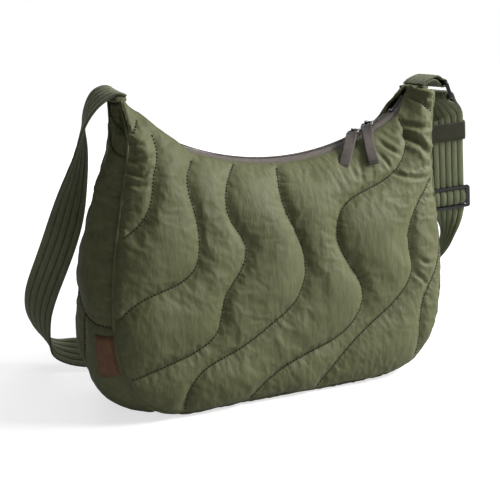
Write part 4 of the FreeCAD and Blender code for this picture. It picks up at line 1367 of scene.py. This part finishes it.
# The elastic band round both plies: its half width, half depth and half height.
BAND = (22.0, 5.0, 11.0)
count = 108
outer = rounded_loop(BAND[0], BAND[1], 2.4, count)
inner = rounded_loop(BAND[0] - 1.6, BAND[1] - 1.6, 1.4, count)
outer_rows = []
inner_rows = []
for k, h in enumerate(np.linspace(-BAND[2], BAND[2], 45)):
    soft = 0.45 * (1.0 - (abs(h) / BAND[2]) ** 8)
    ridge = 0.10 * math.cos(math.pi * k)
    row = []
    for a, b in outer:
        out = unit((a / BAND[0], b / BAND[1])) * (soft - 0.45 + ridge)
        row.append(stretch(KEEPER_AT + h, -1.4 + b + out[1], a + out[0]))
    outer_rows.append(row)
    inner_rows.append([stretch(KEEPER_AT + h, -1.4 + b, a) for a, b in inner])
grid = np.array(outer_rows + inner_rows[::-1])
points = grid.reshape(-1, 3)
total = len(grid)
faces = []
for i in range(total):
    for j in range(count):
        a, b = i * count + j, i * count + (j + 1) % count
        c, d = ((i + 1) % total) * count + (j + 1) % count, ((i + 1) % total) * count + j
        faces.append((a, b, c, d))
obj = make("keeper_band", points, faces, "keeper", KEEPER_CLOTH)
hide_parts("strap_keeper")


# ---------------------------------------------------------------- horn caps and leather tab
def rounded_block(name, x0, x1, z0, z1, half, thick, seed):
    """Folded fabric that closes a horn's tip."""
    sections = []
    for i in range(25):
        t = i / 24.0
        y = half * math.sin((t - 0.5) * math.pi * 0.98)
        size = (1.0 - abs(2.0 * t - 1.0) ** 3) * 0.5 + 0.5
        ring = []
        for k in range(28):
            a = 2.0 * math.pi * k / 28.0
            c, s = math.cos(a), math.sin(a)
            u = math.copysign(abs(c) ** 0.6, c)
            v = math.copysign(abs(s) ** 0.6, s)
            x = (x0 + x1) / 2.0 + (x1 - x0) / 2.0 * u
            z = (z0 + z1) / 2.0 + (z1 - z0) / 2.0 * u + thick * v * size
            wrinkle = 0.5 * float(noise(y / 4.0, k / 3.0, seed))
            ring.append((x + wrinkle * c, y, z + wrinkle * s))
        sections.append(ring)
    points, faces = tube(sections)
    return make(name, points, faces, "bag", SHELL_CLOTH)


obj = rounded_block("horn_fold_left", -184.5, -173.5, 325.2, 325.6, 18.0, 3.6, 340)
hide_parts("horn_cap_left")
obj = rounded_block("horn_fold_right", 177.0, 198.0, 325.0, 325.4, 14.0, 3.0, 350)
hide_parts("horn_cap_right")


def leather_tab():
    """Folded leather set into the side seam, lying on the side panel."""
    low, high = 0.240 * SEAM_LENGTH, 0.281 * SEAM_LENGTH
    rows, cols = 31, 19
    across = (0.004 + 0.186 * np.arange(cols) / (cols - 1.0)) * SIDE["wide"]
    lengths = low + (high - low) * np.arange(rows) / (rows - 1.0)
    flat = np.array([(v, length) for length in lengths for v in across])
    at, ups = place_on(SIDE, flat, 0.0)
    smooth = at.reshape(rows, cols, 3)
    for _ in range(14):
        smooth[1:-1] = (smooth[:-2] + 2 * smooth[1:-1] + smooth[2:]) / 4.0
        smooth[:, 1:-1] = (smooth[:, :-2] + 2 * smooth[:, 1:-1] + smooth[:, 2:]) / 4.0
    up = unit(np.cross(np.gradient(smooth, axis=1), np.gradient(smooth, axis=0)))
    if np.mean(np.sum(up * ups.reshape(rows, cols, 3), axis=2)) < 0:
        up = -up
    i, j = np.meshgrid(np.arange(rows), np.arange(cols), indexing="ij")
    edge = np.minimum(np.minimum(i, rows - 1 - i) * 1.2, np.minimum(j, cols - 1 - j) * 1.0)
    round_off = 1.0 - np.exp(-edge / 0.8)
    top = smooth + up * (1.1 + 0.9 * round_off)[:, :, None]
    points, faces = slab(top, -up, 1.4)
    a, b, c = (points[list(faces[0][:3])[k]] for k in range(3))
    if np.dot(np.cross(b - a, c - a), up[0, 0]) < 0:
        faces = [f[::-1] for f in faces]
    obj = make("leather_label", points, faces, "bag", LEATHER)
    # painted shade along the stitch groove and round the edges
    dark = np.exp(-((edge - 2.2) / 0.8) ** 2) * 0.5 + np.exp(-edge / 0.6) * 0.6
    shade(obj.data, np.concatenate([dark.ravel(), dark.ravel()]))
    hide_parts("leather_tab")
    col = 2                              # the column of points that the stitches follow
    parts = stitch_row(top[1:-1, col] + up[1:-1, col] * 0.1, up[1:-1, col], 2.8, 1.9, 0.3)
    points, faces = merge(parts)
    make("label_stitches", points, faces, "bag", THREAD)


leather_tab()

# ---------------------------------------------------------------- stage, light and camera
FLOOR_REACH = 6000.0
FLOOR_LINES = 21
rows = np.linspace(-FLOOR_REACH, FLOOR_REACH, FLOOR_LINES)
points = np.array([(x, y, 0.0) for x in rows for y in rows])
mesh = bpy.data.meshes.new("studio_floor")
mesh.from_pydata((points * MM).tolist(), [], grid_faces(FLOOR_LINES, FLOOR_LINES))
ground = bpy.data.objects.new("studio_floor", mesh)
bpy.context.scene.collection.objects.link(ground)
mesh.materials.append(FLOOR)


def softbox(name, place, aim, size, power):
    """A rectangular lamp that faces the aim."""
    light = bpy.data.lights.new(name, "AREA")
    light.shape = "RECTANGLE"
    light.size, light.size_y = size
    light.energy = power
    obj = bpy.data.objects.new(name, light)
    bpy.context.scene.collection.objects.link(obj)
    obj.location = place
    way = Vector(aim) - Vector(place)
    obj.rotation_euler = way.to_track_quat("-Z", "Y").to_euler()
    return obj


softbox("key", (1.05, -0.60, 0.95), (0.02, 0.0, 0.15), (0.62, 0.62), 39.0)
softbox("front_fill", (-0.3, -2.0, 0.9), (0.0, 0.0, 0.15), (1.6, 1.2), 3.0)
softbox("back_fill", (0.3, 2.0, 0.9), (0.0, 0.0, 0.15), (1.4, 1.2), 16.0)
softbox("top", (0.1, 0.4, 1.8), (0.0, 0.0, 0.1), (1.4, 1.4), 9.0)

# The camera sees a white backdrop, which lights the object more weakly than it shows.
world = bpy.data.worlds.new("studio")
bpy.context.scene.world = world
world.use_nodes = True
backdrop = world.node_tree.nodes["Background"]
backdrop.inputs["Color"].default_value = (1.0, 1.0, 1.0, 1.0)
seen = world.node_tree.nodes.new("ShaderNodeLightPath")
level = world.node_tree.nodes.new("ShaderNodeMapRange")
level.inputs["To Min"].default_value = 0.13
level.inputs["To Max"].default_value = 1.0
world.node_tree.links.new(seen.outputs["Is Camera Ray"], level.inputs["Value"])
world.node_tree.links.new(level.outputs["Result"], backdrop.inputs["Strength"])

bpy.context.scene.view_settings.view_transform = "Standard"
bpy.context.scene.view_settings.look = "None"

# The camera's place in metres and its turns in degrees follow from the outline of the side seams.
CAMERA_PLACE = (-0.5247, -0.9533, 0.4028)
CAMERA_TILT = 76.965
CAMERA_TURN = -27.564
lens = bpy.data.cameras.new("camera")
lens.sensor_width = 36.0
lens.lens = 72.0
lens.clip_start = 0.05
lens.clip_end = 50.0
camera = bpy.data.objects.new("camera", lens)
camera.location = CAMERA_PLACE
camera.rotation_euler = Euler((math.radians(CAMERA_TILT), 0.0, math.radians(CAMERA_TURN)))
bpy.context.scene.collection.objects.link(camera)
bpy.context.scene.camera = camera

bpy.context.view_layer.update()
